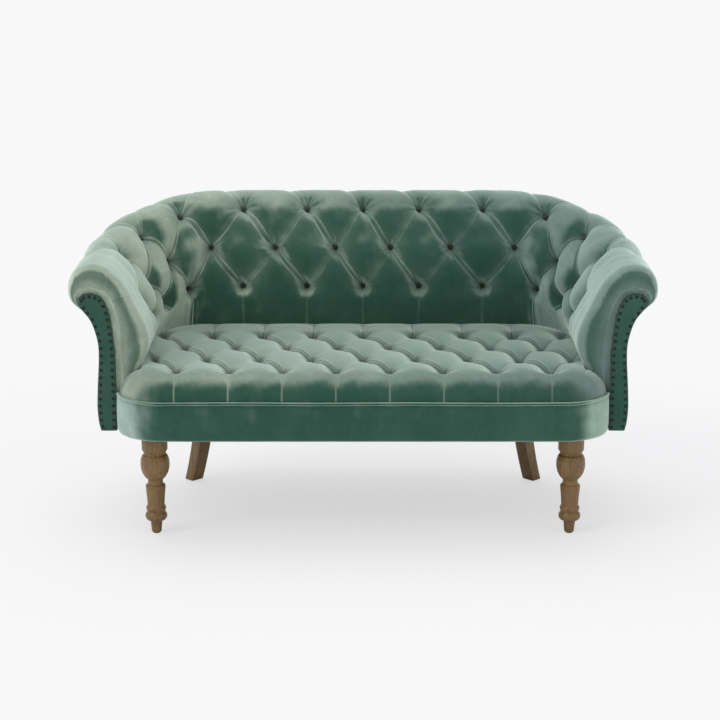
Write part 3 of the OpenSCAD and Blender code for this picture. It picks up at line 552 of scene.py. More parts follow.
# The buttons are painted dark, with little sheen: painted shade, as if they lay in the shadow of their
# hollows
buttonShadowShades = {"body": colour(34, 38, 31), "pale": colour(44, 47, 38), "sheenWeight": 0.15, "sheenPaintShare": 0.06}
beechShades = {
    "dark": colour(150, 118, 84),
    "mid": colour(186, 156, 118),
    "light": colour(206, 180, 146),
    "coat": 0.0,
}
tubVelvet = velvetMaterial("tubVelvet", {**velvetLook, **tubShades})
seatVelvet = velvetMaterial("seatVelvet", velvetLook)
borderVelvet = velvetMaterial("borderVelvet", {**velvetLook, **borderShades}, folds=False)
facingVelvet = velvetMaterial("facingVelvet", {**velvetLook, **facingShades})
outsideVelvet = velvetMaterial("outsideVelvet", {**velvetLook, **outsideShades}, folds=False)
shadowedButtonVelvet = velvetMaterial("shadowedButtonVelvet", {**velvetLook, **buttonShadowShades}, folds=False)
legWood = woodMaterial("brownOak", woodLook)
frameWood = woodMaterial("paleBeech", {**woodLook, **beechShades})
agedBrass = brassMaterial("agedBrass", brassLook)
hessianCloth = weaveMaterial("jute", colour(172, 150, 112), colour(112, 92, 62), 1100.0)
webCloth = weaveMaterial("juteWebbing", colour(142, 118, 84), colour(84, 64, 40), 900.0)
blackCloth = weaveMaterial("bottomCloth", colour(44, 44, 46), colour(18, 18, 20), 2200.0)
zinc = plainMaterial("zincSteel", colour(150, 152, 156), colour(186, 188, 192), 0.35, 0.9)
glidePlastic = plainMaterial("glidePlastic", colour(28, 27, 26), colour(46, 44, 42), 0.45)
print("materials made")

# The solids that stay keep their shape and take these finishes
finishes = {
    "frame_wood": frameWood,
    "leg_wood": legWood,
    "webbing": webCloth,
    "hessian": hessianCloth,
    "steel": zinc,
    "glide_plastic": glidePlastic,
    "aged_brass": agedBrass,
    "black_cloth": blackCloth,
    "velvet": borderVelvet,
}
for part in frame["record"]["subparts"]:
    solid = frame["nodes"][part["node"]]
    solid.data.materials.clear()
    solid.data.materials.append(finishes[part["material_slot"]])

# Buttoned pads of the tub. A place on them is (u, v): u counts buttons along the path from the middle, v
# counts rows up from the lowest one, and buttons sit where both u + v / 2 and u - v / 2 are whole. Lengths
# are in millimetres, and a pair of values says where something starts and where it is complete
tubPads = {
    "fill": 0.85,
    "fineness": 44,  # grid steps for half a pitch and for one row
    "footRows": 34,
    "tackRows": 17,
    "pitch": 150.0,
    "rise": 118.0,
    "seam": 3,  # where the back pad meets the arm pads
    "lastButton": 5.5,
    "plainFrom": 5.9,
    "corner": (1.9, 2.6),
    "sinkShare": 0.56,
    "cornerSink": 0.22,
    "cornerSinkAt": (2.2, 3.4),
    "tuck": 0.4,
    "tack": (3.15, 3.5),
    "footSink": 0.12,
    "footRun": 0.32,
    "latticeFoot": (-0.25, 0.05),
    "latticeTop": (2.95, 3.15),
    "buttonRows": (-0.3, 3.3),
    "creaseShare": 0.7,
    "creasePower": 0.6,
    "domePower": 0.45,
    "valley": 0.1,
    "softRising": 0.5,
    "softAt": (0.12, 0.55),
    "risingPleat": 0.3,
    "foldHalf": 6.0,
    "foldShift": 0.0,
    "foldNarrow": 0.4,
    "lip": 1.5,
    "lipWidth": 1.7,
    # Painted highlight along the pleats' lips, painted shade in the band and lines between them
    "lipPale": 0.8,
    "lowPale": 0.4,
    "bandDark": 0.3,
    "bandAt": 0.55,  # in widths of the pleat
    "bandHalf": 0.6,
    "bandSoft": 0.6,
    "lineDark": 0.0,
    "lineWidth": 1.5,
    "footPleat": 2.6,
    "footLift": 1.3,
    # Painted highlight along the straight pleats below the lowest row
    "footPale": 0.2,
    "crestDent": 3.8,
    "dentRow": 2.5,
    "dentRows": 0.34,
    "dentHalf": 14.0,
    "dentPitch": 127.0,
    "wrinkle": 1.7,
    "wrinkleReach": 17.0,
    "wrinkleAt": (6.0, 15.0),
    "wrinkleWaves": ((7, 1.0, 6.28), (12, 0.7, 17)),  # folds round a button, their height and their spread
    # Painted sheen calmed near the buttons, and painted highlight in a halo round them and along the creases,
    # made uneven
    "calm": 0.7,
    "calmReach": 36.0,
    "haloPale": 0.08,
    "haloAt": 16.0,
    "haloHalf": 20.0,
    "creasePale": 0.3,
    "creaseReach": 0.33,
    "paleEven": 0.85,
    "paleUneven": 0.9,
    "paleLength": 60.0,
    # Width of the painted shade in each button's hollow
    "buttonShade": 11.0,
    "endRound": 0.62 * roll,  # the arm pads' front end is wrapped round to the frame in a turn
    "endTurn": 2.36,
    "endRows": 48,
    "endPale": ((0.24, 0.2, 0.6), (0.3, 1.3, 2.1)),  # painted sheen on the turned front ends: its paleness, and the turns between which it comes up
    "fanRows": (0.1, 0.95, 1.62, 2.12, 2.47, 2.78, 2.93),
    "fanHalf": 0.018,
    "fanAt": (0.15, 0.9),
    "fanDepth": 0.9,
    # Painted highlight along the fan pleats
    "fanPale": 0.2,
    "fanEven": 0.6,
    "uneven": 1.2,
    "unevenLength": 80.0,
}
# Lattice row, crown outside the path and below the crest, the same for the depth of the buttons (as shares of
# the roll radius), and the place on the frame behind
padRows = np.array([
    [0, 0, 0, 0, 0, 0],
    [0, 0, 0, 0, 0, 0.35],
    [0, -1.33, 0, -0.85, 0, 0.6],
    [0, -1.417, 3.533, -0.3, 3.533, 0.9],
    [1 / 3, -1.4, 3.15, -0.26, 3.15, 1.3],
    [2 / 3, -1.33, 2.8, -0.2, 2.8, 1.8],
    [1, -1.2, 2.43, -0.1, 2.45, 2.4],
    [4 / 3, -0.87, 1.8, 0.02, 1.95, 3],
    [5 / 3, -0.53, 1.08, 0.18, 1.5, 3.7],
    [2, -0.1, 0.5, 0.38, 1.12, 4.4],
    [13 / 6, 0.3, 0.17, 0.5, 0.75, 4.9],
    [7 / 3, 0.67, 0.03, 0.75, 0.45, 5.4],
    [5 / 2, 1.03, 0, 1.03, 0.3, 5.9],
    [8 / 3, 1.417, 0.1, 1.3, 0.4, 6.4],
    [17 / 6, 1.75, 0.35, 1.48, 0.6, 7],
    [3, 1.95, 0.767, 1.55, 0.82, 7.6],
    [3, 1.983, 1.017, 1.7, 1.05, 8.1],
    [3, 1.88, 1.5, 1.7, 1.45, 8.5],
    [3, 1.45, 1.87, 1.45, 1.87, 9],
])
footKnots, tackKnots = [-1.45, -0.95, -0.45], [3.1, 3.3, 3.5]  # rows below the lattice and beyond it
rowKnots = np.concatenate([footKnots, padRows[3:-3, 0], tackKnots])
stationShares = np.array([0, 0.1436, 0.3074, 0.4684, 0.5883, 0.7164, 0.8811, 1.0458])
stationKnots = np.arange(-7, 8)
stationPlaces = np.concatenate([-stationShares[:0:-1], stationShares]) * pathLength
# The frame's inner edge as shares of the roll radius: outside the path and below the crest
curlShares = np.array([
    [0, 3.717],
    [0.083, 2.817],
    [0.167, 2.133],
    [0.333, 1.633],
    [0.55, 1.3],
    [0.917, 1.167],
    [1.283, 1.217],
    [1.5, 1.433],
])
curlEnd = (1.3, 1.86)
padEdge = {"low": 0.15, "tall": 0.7, "rise": 0.55, "deep": 0.2}  # shares of the roll, and of the way up


# Station along the path of a lattice number: a smooth curve through the measured buttons
def stationAt(u):
    return curveWeights(stationKnots, np.atleast_1d(u)) @ stationPlaces


# Crown and depth profiles at each crest height: (stations, rows, n and z)
def padProfiles(top):
    tall = (top[:, None] - couch["armTop"]) / (couch["backTop"] - couch["armTop"])
    edge = couch["seatTop"] - padEdge["low"] * roll
    extra = np.clip(1 - padRows[:, 0], 0, 1) * padEdge["tall"] * tall
    crownZ, deepZ = (top[:, None] - (padRows[:, k] + extra) * roll for k in (2, 4))
    crownN, deepN = (np.repeat((padRows[:, k] * roll)[None], len(top), 0) for k in (1, 3))
    crownN[:, 0] = crownN[:, 1] = -couch["padFoot"]
    crownZ[:, 0], crownZ[:, 1] = couch["padBottom"], edge
    crownZ[:, 2] = edge + padEdge["rise"] * (crownZ[:, 3] - edge)
    deepN[:, 0], deepN[:, 1] = crownN[:, 0], crownN[:, 1] + padEdge["deep"] * roll
    deepZ[:, :3] = crownZ[:, :3]
    return np.stack([crownN, crownZ], -1), np.stack([deepN, deepZ], -1)


# Frame edge behind the pads, moved out by the hessian's thickness: (stations, points, n and z)
def framePoints(top):
    n = np.concatenate([[0], curlShares[:, 0], curlEnd[:1]]) * roll
    below = np.concatenate([curlShares[:, 1], curlEnd[1:]]) * roll
    z = np.concatenate([np.full((len(top), 1), couch["padBottom"]), top[:, None] - below], 1)
    run = np.stack([np.broadcast_to(n, z.shape), z], -1)
    way = np.concatenate([run[:, 1:], run[:, -1:]], 1) - np.concatenate([run[:, :1], run[:, :-1]], 1)
    way /= np.linalg.norm(way, axis=2, keepdims=True)
    return run + couch["clothGap"] * np.stack([-way[..., 1], way[..., 0]], -1)


# Height between the buttons: sine waves along both diagonals with a rounded valley where either is 0, and a
# dome between. The rising diagonals are soft away from the buttons
def puff(u, v, look, rising):
    low = look["valley"]
    p, q = (np.sqrt(np.sin(math.pi * (u + way * v / 2)) ** 2 + low**2) for way in (1, -1))
    q = q + (1 - q) * (1 - rising) * smoothStep(*look["softAt"], p)
    floor = puffOf(low, low, look)
    return np.clip((puffOf(p, q, look) - floor) / (1 - floor), 0, 1)


# The same from the two waves: the creases' share of the height, then the dome's
def puffOf(p, q, look):
    p, q = np.minimum(p, 1), np.minimum(q, 1)
    a, b = p ** look["creasePower"], q ** look["creasePower"]
    return look["creaseShare"] * (a + b - a * b) + (1 - look["creaseShare"]) * (p * q) ** look["domePower"]


# Share of the full depth that the buttons sink at each place: deeper round the corners and in the arms
def sinkAt(u, look):
    return look["sinkShare"] + look["cornerSink"] * smoothStep(*look["cornerSinkAt"], np.abs(u))


# Lattice numbers of the nearest button, and the place in millimetres across and up from it
def fromButton(u, v, pitch, rise):
    p, q = np.round(u + v / 2), np.round(u - v / 2)
    return p, q, (u - (p + q) / 2) * pitch, (v - (p - q)) * rise


# Pleats beside the creases, in millimetres: a flat band between two thin lips, one proud and one cut in below
# the next crease, then the painted highlight on the lips' edges and the painted shade in the band and lines
# between them
def pleats(u, v, look, rising):
    length = 1 / math.hypot(1 / look["pitch"], 1 / (2 * look["rise"]))
    total = pale = dark = 0
    p, q = u + v / 2, u - v / 2
    for line, other, share, cut, shift in ((p, q, 1.0, 1.0, look["foldShift"]), (q, p, rising, -0.5, 0.0)):
        away = (line - np.round(line)) * length - shift
        along = np.abs(np.sin(math.pi * other))
        narrowed = look["foldNarrow"] + (1 - look["foldNarrow"]) * along
        width = look["foldHalf"] * narrowed
        proud, low = bell(away - width, look["lipWidth"]), bell(away + width, look["lipWidth"])
        total = total + share * look["lip"] * (proud - cut * low)
        # Painted highlight along both lips
        pale = pale + share * look["lipPale"] * (proud + look["lowPale"] * low) * narrowed
        # Painted shade in the band under the proud lip, and in lines beside it
        under = bell(away + look["bandAt"] * width, look["bandHalf"] * width + look["bandSoft"])
        lines = bell(away + width / 2, look["lineWidth"]) + bell(away - width / 2, look["lineWidth"])
        dark = dark + share * (look["bandDark"] * under + look["lineDark"] * lines) * (0.5 + 0.5 * along)
    return total, pale, dark


# Gathers round each button: waves round its middle that die away with the distance
def gathers(u, v, look):
    p, q, across, up = fromButton(u, v, look["pitch"], look["rise"])
    away, angle = np.hypot(across, up), np.arctan2(up, across)
    chance = scatter(p, q)
    kinds = look["wrinkleWaves"]
    waves = sum(size * np.cos(count * angle + spread * chance) for count, size, spread in kinds)
    fading = np.exp(-away / look["wrinkleReach"]) * smoothStep(*look["wrinkleAt"], away)
    return look["wrinkle"] * waves * fading


# Relief of the tub's cloth in millimetres, its painted shade in the pleats and the button hollows, how far
# its painted sheen is calmed, and its painted highlight
def tubRelief(u, v, t, turn, points, look):
    tufted = 1 - smoothStep(look["lastButton"], look["plainFrom"], np.abs(u))
    inside = smoothStep(*look["latticeFoot"], t) * (1 - smoothStep(*look["latticeTop"], t))
    tucked = smoothStep(t[0], t[0] + look["tuck"], t)
    held = tufted * tucked * (1 - smoothStep(*look["tack"], t))
    corner = smoothStep(*look["corner"], np.abs(u))
    relief, pale, dark = pleats(u, v, look, look["risingPleat"] + (1 - look["risingPleat"]) * corner)
    straight = bell((u - np.round(u)) * look["pitch"], look["footPleat"])
    straight = straight * (1 - smoothStep(*look["latticeFoot"], t))
    relief = relief * inside + look["footLift"] * straight
    falling = (u + v / 2 - np.round(u + v / 2)) * look["dentPitch"]
    overCrest = bell(t - look["dentRow"], look["dentRows"])
    relief = relief - look["crestDent"] * overCrest * bell(falling, look["dentHalf"])
    w = np.clip(t, *look["buttonRows"]) + 0 * u
    relief = (relief + gathers(u, w, look)) * held
    near = np.hypot(*fromButton(u, w, look["pitch"], look["rise"])[2:])
    crease = np.minimum(*(np.abs(np.sin(math.pi * (u + way * w / 2))) for way in (1, -1)))
    # Painted sheen calmed near the buttons; painted highlight in a halo round them, along the creases, on the
    # pleats' lips and on the straight pleats at the foot
    calm = look["calm"] * bell(near, look["calmReach"]) * inside * tufted
    halo = look["haloPale"] * bell(near - look["haloAt"], look["haloHalf"])
    halo = halo + look["creasePale"] * np.exp(-crease / look["creaseReach"])
    pale = (pale * inside + look["footPale"] * straight + halo * inside) * held
    place = np.moveaxis(points, -1, 0)
    pale = pale * (look["paleEven"] + look["paleUneven"] * unevenness(*place, look["paleLength"], 31.0))
    # Painted shade in each button's hollow and in the pleats' bands
    onButton = bell(near, look["buttonShade"]) * tufted * (np.abs(t) < look["buttonRows"][1])
    fold = np.maximum(onButton, dark * inside * tufted)
    # Fan pleats at the arms' ends: painted highlight along them, and painted sheen over the turned ends
    even = look["fanEven"]
    shares = [even + (1 - even) * scatter(k, 2.0) for k in range(len(look["fanRows"]))]
    fan = sum(share * bell(t - row, look["fanHalf"]) for share, row in zip(shares, look["fanRows"]))
    fan = fan * smoothStep(*look["fanAt"], turn)
    endPale = sum(share * smoothStep(low, high, turn) for share, low, high in look["endPale"])
    pale = np.maximum(pale + look["fanPale"] * fan, endPale)
    relief = relief + look["uneven"] * unevenness(*place, look["unevenLength"], 3.0) * tucked
    relief = relief * (0.5 + 0.5 * np.cos(turn)) - look["fanDepth"] * fan
    return relief, {"fold": (fold, 0), "calm": (calm, 0), "pale": (pale, endPale)}


# A pad of the tub at these stations: crown and depth profiles mixed by the buttoning, with the relief along
# its normals. Where turn grows, the section is drawn back to the frame behind by half a cosine wave
def tubPad(name, node, u, look, turn=0.0):
    t = np.concatenate([
        np.linspace(rowKnots[0], 0, look["footRows"])[:-1],
        np.arange(0, 3, 1 / look["fineness"]),
        np.linspace(3, rowKnots[-1], look["tackRows"]),
    ])
    turn = np.broadcast_to(turn, u.shape)
    wrapped = np.minimum(np.abs(stationAt(u)), padEnd - look["endRound"]) + look["endRound"] * np.sin(turn)
    s = np.where(turn > 0, np.sign(u) * wrapped, stationAt(u))
    top = crestHeight(s)
    weights = curveWeights(rowKnots, t)
    crown, deep = (np.einsum("tr,srk->stk", weights, profile) for profile in padProfiles(top))
    behind = framePoints(top)
    place = np.interp(t, rowKnots, padRows[:, 5])
    low = np.minimum(place.astype(int), behind.shape[1] - 2)
    part = (place - low)[:, None]
    onFrame = behind[:, low] * (1 - part) + behind[:, low + 1] * part
    uu, vv = np.meshgrid(u, np.clip(t, 0, 3), indexing="ij")
    corner = smoothStep(*look["corner"], np.abs(uu))
    raised = puff(uu, vv, look, look["softRising"] + (1 - look["softRising"]) * corner)
    tufted = 1 - smoothStep(look["lastButton"], look["plainFrom"], np.abs(uu))
    under = look["footSink"] + (1 - look["footSink"]) * smoothStep(-look["footRun"], 0, t)
    under = under * smoothStep(t[0], t[0] + look["tuck"], t)
    sunk = np.clip((1 - raised) * tufted * under * sinkAt(uu, look), 0, 1)[..., None]
    draw = (0.5 - 0.5 * np.cos(turn))[:, None, None]
    section = (crown + (deep - crown) * sunk) * (1 - draw) + onFrame * draw
    x, y = planPoint(s[:, None], section[..., 0])
    points = np.stack([x, y, section[..., 1]], -1)
    normals = gridNormals(points)
    onCrest = np.abs(t - 2.3) < 0.3
    normals = normals * np.sign(normals[len(u) // 2, onCrest, 2].sum())
    relief, values = tubRelief(uu, vv, t, turn[:, None], points, look)
    x, y = planPoint(s[:, None], behind[..., 0])
    back = np.stack([x, y, behind[..., 1]], -1)[:, ::-1]
    ring = np.concatenate([points + normals * relief[..., None], back], 1)
    plain = np.zeros(back.shape[:2])
    values = {key: np.concatenate([field, plain + rear], 1) for key, (field, rear) in values.items()}
    height = np.concatenate([raised, plain], 1)
    ringPiece(name, node, ring, tubVelvet, "velvet", len(t), height, values)


fine, seam = tubPads["fineness"] * 2, tubPads["seam"]
backStations = np.arange(-seam * fine, seam * fine + 1) / fine
armStations = np.arange(seam * fine, stationKnots[-1] * fine) / fine
armStations = armStations[stationAt(armStations) < padEnd - tubPads["endRound"] - 1]
endTurns = np.linspace(0, tubPads["endTurn"], tubPads["endRows"])
finely = np.linspace(5, 7, 2001)
endStations = np.interp(padEnd - tubPads["endRound"] * (1 - np.sin(endTurns)), stationAt(finely), finely)
turns = np.concatenate([np.zeros(len(armStations)), endTurns])
armStations = np.concatenate([armStations, endStations])
tubPad("backPad", "back_pad", backStations, tubPads)
tubPad("armPadRight", "arm_pad_right", armStations, tubPads, turns)
tubPad("armPadLeft", "arm_pad_left", -armStations[::-1], tubPads, turns[::-1])
print("tub pads made")

# Covered buttons
buttonLook = {
    "radius": 7.4,
    "height": 4.4,
    "rings": 7,
    "spokes": 20,
    "round": 2.05,  # angle from the top of the dome to its rim, turned under
    "flat": 0.4,
    "folds": 10,
    "gather": 0.35,
    "frill": 0.04,
    "frillFrom": 0.55,
    "lift": 5.0,
    "crestSink": 13.0,
}


# A covered button: a flattened dome whose edge is gathered, turned under at the rim
def buttonShape(look):
    t = np.linspace(0, 1, look["rings"])[:, None]
    angle = np.linspace(0, 2 * math.pi, look["spokes"], endpoint=False)
    radius = look["radius"] * np.sin(np.clip(t * look["round"], 0, math.pi))
    height = look["height"] * (np.cos(t * look["round"]) * (1 - look["flat"]) + look["flat"])
    wave = np.cos(angle * look["folds"])
    radius = radius * (1 + look["frill"] * wave * (t > look["frillFrom"]))
    z = height + look["gather"] * wave * t**2
    points = np.stack([radius * np.cos(angle), radius * np.sin(angle), z], -1)[1:]
    rings, spokes = points.shape[:2]
    rim = np.arange(spokes)
    faces = np.concatenate([
        tubeFaces(rings, spokes),
        fanFaces(rim, rings * spokes),
        fanFaces(rim + (rings - 1) * spokes, rings * spokes + 1, turned=True),
    ])
    return np.concatenate([points.reshape(-1, 3), [[0, 0, look["height"]], [0, 0, height[-1, 0]]]]), faces


# Copies of the button set into frames given by origin, axis and a side direction
def buttonSet(name, node, origins, axes, sides, look):
    shape, faces = buttonShape(look)
    axes = axes / np.linalg.norm(axes, axis=1, keepdims=True)
    sides = sides - (sides * axes).sum(1, keepdims=True) * axes
    sides = sides / np.linalg.norm(sides, axis=1, keepdims=True)
    ways = np.stack([sides, np.cross(axes, sides), axes], 1)
    points = origins[:, None] + np.einsum("pk,bkx->bpx", shape, ways)
    faces = faces[None] + (np.arange(len(origins)) * len(shape))[:, None, None]
    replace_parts(meshPiece(name, points, faces.reshape(-1, 3), shadowedButtonVelvet, "velvet"), node)


# Rows of padRows that hold buttons, and where the first button of each stands
buttonRows = ((3, 0.0), (6, 0.5), (9, 0.0), (15, 0.5))
crestRow = 15


# Buttons of the tub between two stations: on the line from crown to depth, as deep as the cloth is sunk there
def tubButtons(name, node, low, high, look):
    spots = np.array([
        (side * u, row)
        for side in (-1, 1)
        for row, start in buttonRows
        for u in np.arange(start, tubPads["lastButton"] + 0.1)
        if low <= u <= high and (u > 0 or side > 0)
    ])
    u, rows, each = spots[:, 0], spots[:, 1].astype(int), np.arange(len(spots))
    s = stationAt(u)
    crown, deep = (profile[each, rows] for profile in padProfiles(crestHeight(s)))
    depth = np.linalg.norm(crown - deep, axis=1, keepdims=True)
    way = (crown - deep) / depth
    down = depth[:, 0] * sinkAt(u, tubPads) - look["lift"]
    spot = crown - way * np.where(rows == crestRow, look["crestSink"], down)[:, None]
    x, y = planPoint(s, spot[:, 0])
    c, d = sideOf(s) * np.cos(turnAt(s)), np.sin(turnAt(s))
    origins = np.stack([x, y, spot[:, 1]], -1)
    axes = np.stack([way[:, 0] * c, way[:, 0] * d, way[:, 1]], -1)
    buttonSet(name, node, origins, axes, np.stack([-d, c, 0 * c], -1), look)


tubButtons("backButtons", "back_buttons", 0, seam, buttonLook)
tubButtons("armButtons", "arm_buttons", seam + 0.25, tubPads["lastButton"], buttonLook)
print("tub buttons made")

# Seat: its inner half width and length, the pitch of its buttons and the places of its edges
seatPlan = {"pitches": 4.16, "rowShare": 0.218, "firstShare": 0.137}
seatInner = halfWidth - couch["padFoot"] - couch["beside"]
seatBack = backY - couch["padFoot"] - couch["beside"]
seatLength = seatBack - frontY
seatPitch = seatInner / seatPlan["pitches"]
rowPitch = seatPlan["rowShare"] * seatLength
firstRow = frontY + seatPlan["firstShare"] * seatLength
edgeIn = 1.5 * couch["piping"]
cornerR = couch["frontCorner"] - edgeIn
wingReach = cornerX + math.sqrt(cornerR**2 - (cornerY - faceY + 3) ** 2) - couch["beside"]
seatLook = {
    **tubPads,
    "fill": 0.8,
    "pitch": seatPitch,
    "rise": rowPitch,
    "tuft": 36.0,
    "edgeRound": 0.125,  # share of the seat's length that rounds over at the front
    "right": (2.0, 3.2),  # towards the right end the rising pleats are as sharp as the others
    "risingPleat": 0.15,
    "frontSink": 0.13,
    "frontRun": 0.26,
    "rearLoss": 0.8,
    "rearRun": 0.3,
    "edgeSink": 1.4,
    "backSink": 0.35,
    "backFade": 43.0,
    "backDrop": 4.0,
    "sideFade": 0.45,  # share of the pitch
    "sideRun": 20.0,
    "sideDrop": 3.0,
    "innerFade": 30.0,
    "wingRows": 22,
    "wingPower": 0.8,  # the lines lie closer where the surface turns more
    "edgeRows": 34,
    "edgePower": 1.7,
    "insideRun": (-14.0, 6.0),
    "insideEnd": (2.95, 3.1),
    "creaseShare": 0.66,
    "creasePower": 0.7,
    "foldHalf": 7.5,
    "foldShift": 10.0,
    "lip": 1.3,
    "lipWidth": 2.2,
    # Painted highlight along the lips, painted shade in the band and lines
    "lipPale": 1.2,
    "bandDark": 0.25,
    "lineDark": 1.1,
    "lineWidth": 1.7,
    "edgeLip": 1.4,  # straight pleats from the first row over the front edge
    "edgeLipAt": (0.02, 0.25),
    "edgeCut": 0.9,
    "edgeCutAt": 4.2,
    "edgePleat": 1.7,
    # Painted highlight along the straight pleats over the front edge
    "edgePaleWidth": 1.8,
    "edgePale": 0.8,
    "rearCut": 1.6,  # straight pleats behind the last row
    "rearFrom": (0.0, 0.06),
    "rearPleat": 2.2,
    # Painted shade along the pleats behind the last row and to the right of each, towards the rear edge
    "rearLine": 2.4,
    "rearShadeAt": 12.0,
    "rearShade": 11.0,
    "rearDark": 0.9,
    "rearDarkAt": (0.0, 40.0),  # in front of the rear edge
    "rearFade": (2.0, 20.0),
    # Painted shade in each button's hollow, seen a little in front of the button
    "buttonShade": 19.0,
    "buttonShadeAt": 12.0,
    # Painted shade that darkens the seat towards its right end
    "rightDark": 0.34,
    "rightAt": (1.4, 3.1),
    "wrinkle": 1.4,
    "wrinkleReach": 16.0,
    "wrinkledAt": (0.3, 0.9),  # shares of the rounded edge
    "uneven": 1.0,
    "unevenLength": 90.0,
    "unevenAt": (0.02, 0.3),
}


# Front edge of the seat pad in plan at each x: straight, then a quarter circle at each corner
def seatFront(x):
    over = np.maximum(np.abs(x) - cornerX, 0)
    return cornerY - np.sqrt(np.maximum(cornerR**2 - over**2, 0))


# Its rear edge: straight, then a quarter circle in each corner of the tub, and before the facings beyond them
def seatRear(x):
    over = np.maximum(np.abs(x) - bendX, 0)
    r = rearCorner - couch["padFoot"] - couch["beside"]
    inTub = bendY + np.sqrt(np.maximum(r * r - over**2, 0))
    return np.where(np.abs(x) > seatInner + 0.01, faceY - couch["beside"], inTub)


# A step from 0 at the seat's sides to 1 further in, a share of the pitch away
def seatSides(x, look):
    return smoothStep(0, seatPitch * look["sideFade"], seatInner + look["sideRun"] - np.abs(x))


# Top of the seat: a crown rounded over at the front, with the buttoning sunk into it. Gives its height, how
# far it is sunk, the lattice numbers and the share of the rounded edge that is passed
def seatSurface(x, y, look):
    cornerD = cornerR - np.hypot(np.maximum(np.abs(x) - cornerX, 0), np.maximum(cornerY - y, 0))
    away = np.where((np.abs(x) > cornerX) & (y < cornerY), cornerD, y - frontY - edgeIn)
    d = np.clip(away / (look["edgeRound"] * seatLength), 0, 1)
    rows = (y - firstRow) / rowPitch
    u, v = x / seatPitch + 0.5, np.clip(rows, 0, 3)
    right = smoothStep(*look["right"], u - 0.5)
    raised = puff(u, v, look, look["softRising"] + (1 - look["softRising"]) * right)
    backFade = np.clip((seatRear(x) - y) / look["backFade"], 0, 1)
    inner = np.clip((seatInner - np.abs(x)) / look["innerFade"], 0, 1)
    ahead = look["frontSink"] + (1 - look["frontSink"]) * smoothStep(-look["frontRun"], 0, rows)
    ahead = ahead * (1 - look["rearLoss"] * smoothStep(0, look["rearRun"], rows - 3))
    sunk = (1 - raised) * ahead * np.minimum(look["edgeSink"] * d, 1)
    sunk = sunk * np.minimum(look["backSink"] + backFade, 1) * seatSides(x, look)
    base = couch["padBottom"] + couch["piping"]
    z = base + (couch["seatTop"] - base) * np.sqrt(1 - (1 - d) ** 2)
    z = z - look["tuft"] * sunk - look["backDrop"] * (1 - backFade) - look["sideDrop"] * (1 - inner)
    return z, sunk, u, v, d


# Relief of the seat's cloth in millimetres, and how much painted shade and painted highlight each point takes
def seatRelief(x, y, z, u, v, d, look):
    rows = (y - firstRow) / rowPitch
    right = smoothStep(*look["right"], x / seatPitch)
    relief, pale, dark = pleats(u, v, look, look["risingPleat"] + (1 - look["risingPleat"]) * right)
    start, full = look["insideRun"]
    inside = smoothStep(firstRow + start, firstRow + full, y) * (1 - smoothStep(*look["insideEnd"], rows))
    gap = (u - np.round(u)) * seatPitch
    straight = look["edgeLip"] * bell(gap, look["edgePleat"])
    straight = straight - look["edgeCut"] * bell(gap - look["edgeCutAt"], look["edgePleat"])
    relief = relief * inside + straight * (y < firstRow) * smoothStep(*look["edgeLipAt"], d)
    # Painted highlight on the lips and along the straight pleats over the front edge
    pale = pale * inside + look["edgePale"] * bell(gap, look["edgePaleWidth"]) * (y < firstRow)
    # Painted shade in the buttons' hollows, a little ahead of each button, and in the pleats' bands
    ahead = look["buttonShadeAt"]
    near = np.hypot(*fromButton(u, (y - firstRow - ahead) / rowPitch, seatPitch / 1.5, rowPitch)[2:])
    dark = np.maximum(bell(near, look["buttonShade"]) * (y > firstRow - ahead), dark * inside)
    gap = (u - 0.5 - np.round(u - 0.5)) * seatPitch
    behind = smoothStep(*look["rearFrom"], rows - 3)
    relief = relief - look["rearCut"] * behind * bell(gap, look["rearPleat"])
    # Painted shade along the pleats behind the last row and to the right of each, towards the rear edge
    behind = behind * (bell(gap, look["rearLine"]) + 0.5 * bell(gap - look["rearShadeAt"], look["rearShade"]))
    toRear = seatRear(x) - y
    dark = np.maximum(dark, look["rearDark"] * behind * smoothStep(*look["rearDarkAt"], toRear))
    # Painted shade, darker towards the right end
    dark = np.maximum(dark, look["rightDark"] * smoothStep(*look["rightAt"], u - 0.5))
    relief = relief + gathers(u, rows, look) * smoothStep(*look["wrinkledAt"], d)
    uneven = look["uneven"] * unevenness(x, y, z, look["unevenLength"], 9.0)
    relief = relief * seatSides(x, look) + uneven * smoothStep(*look["unevenAt"], d)
    return relief * smoothStep(*look["rearFade"], toRear), dark, pale


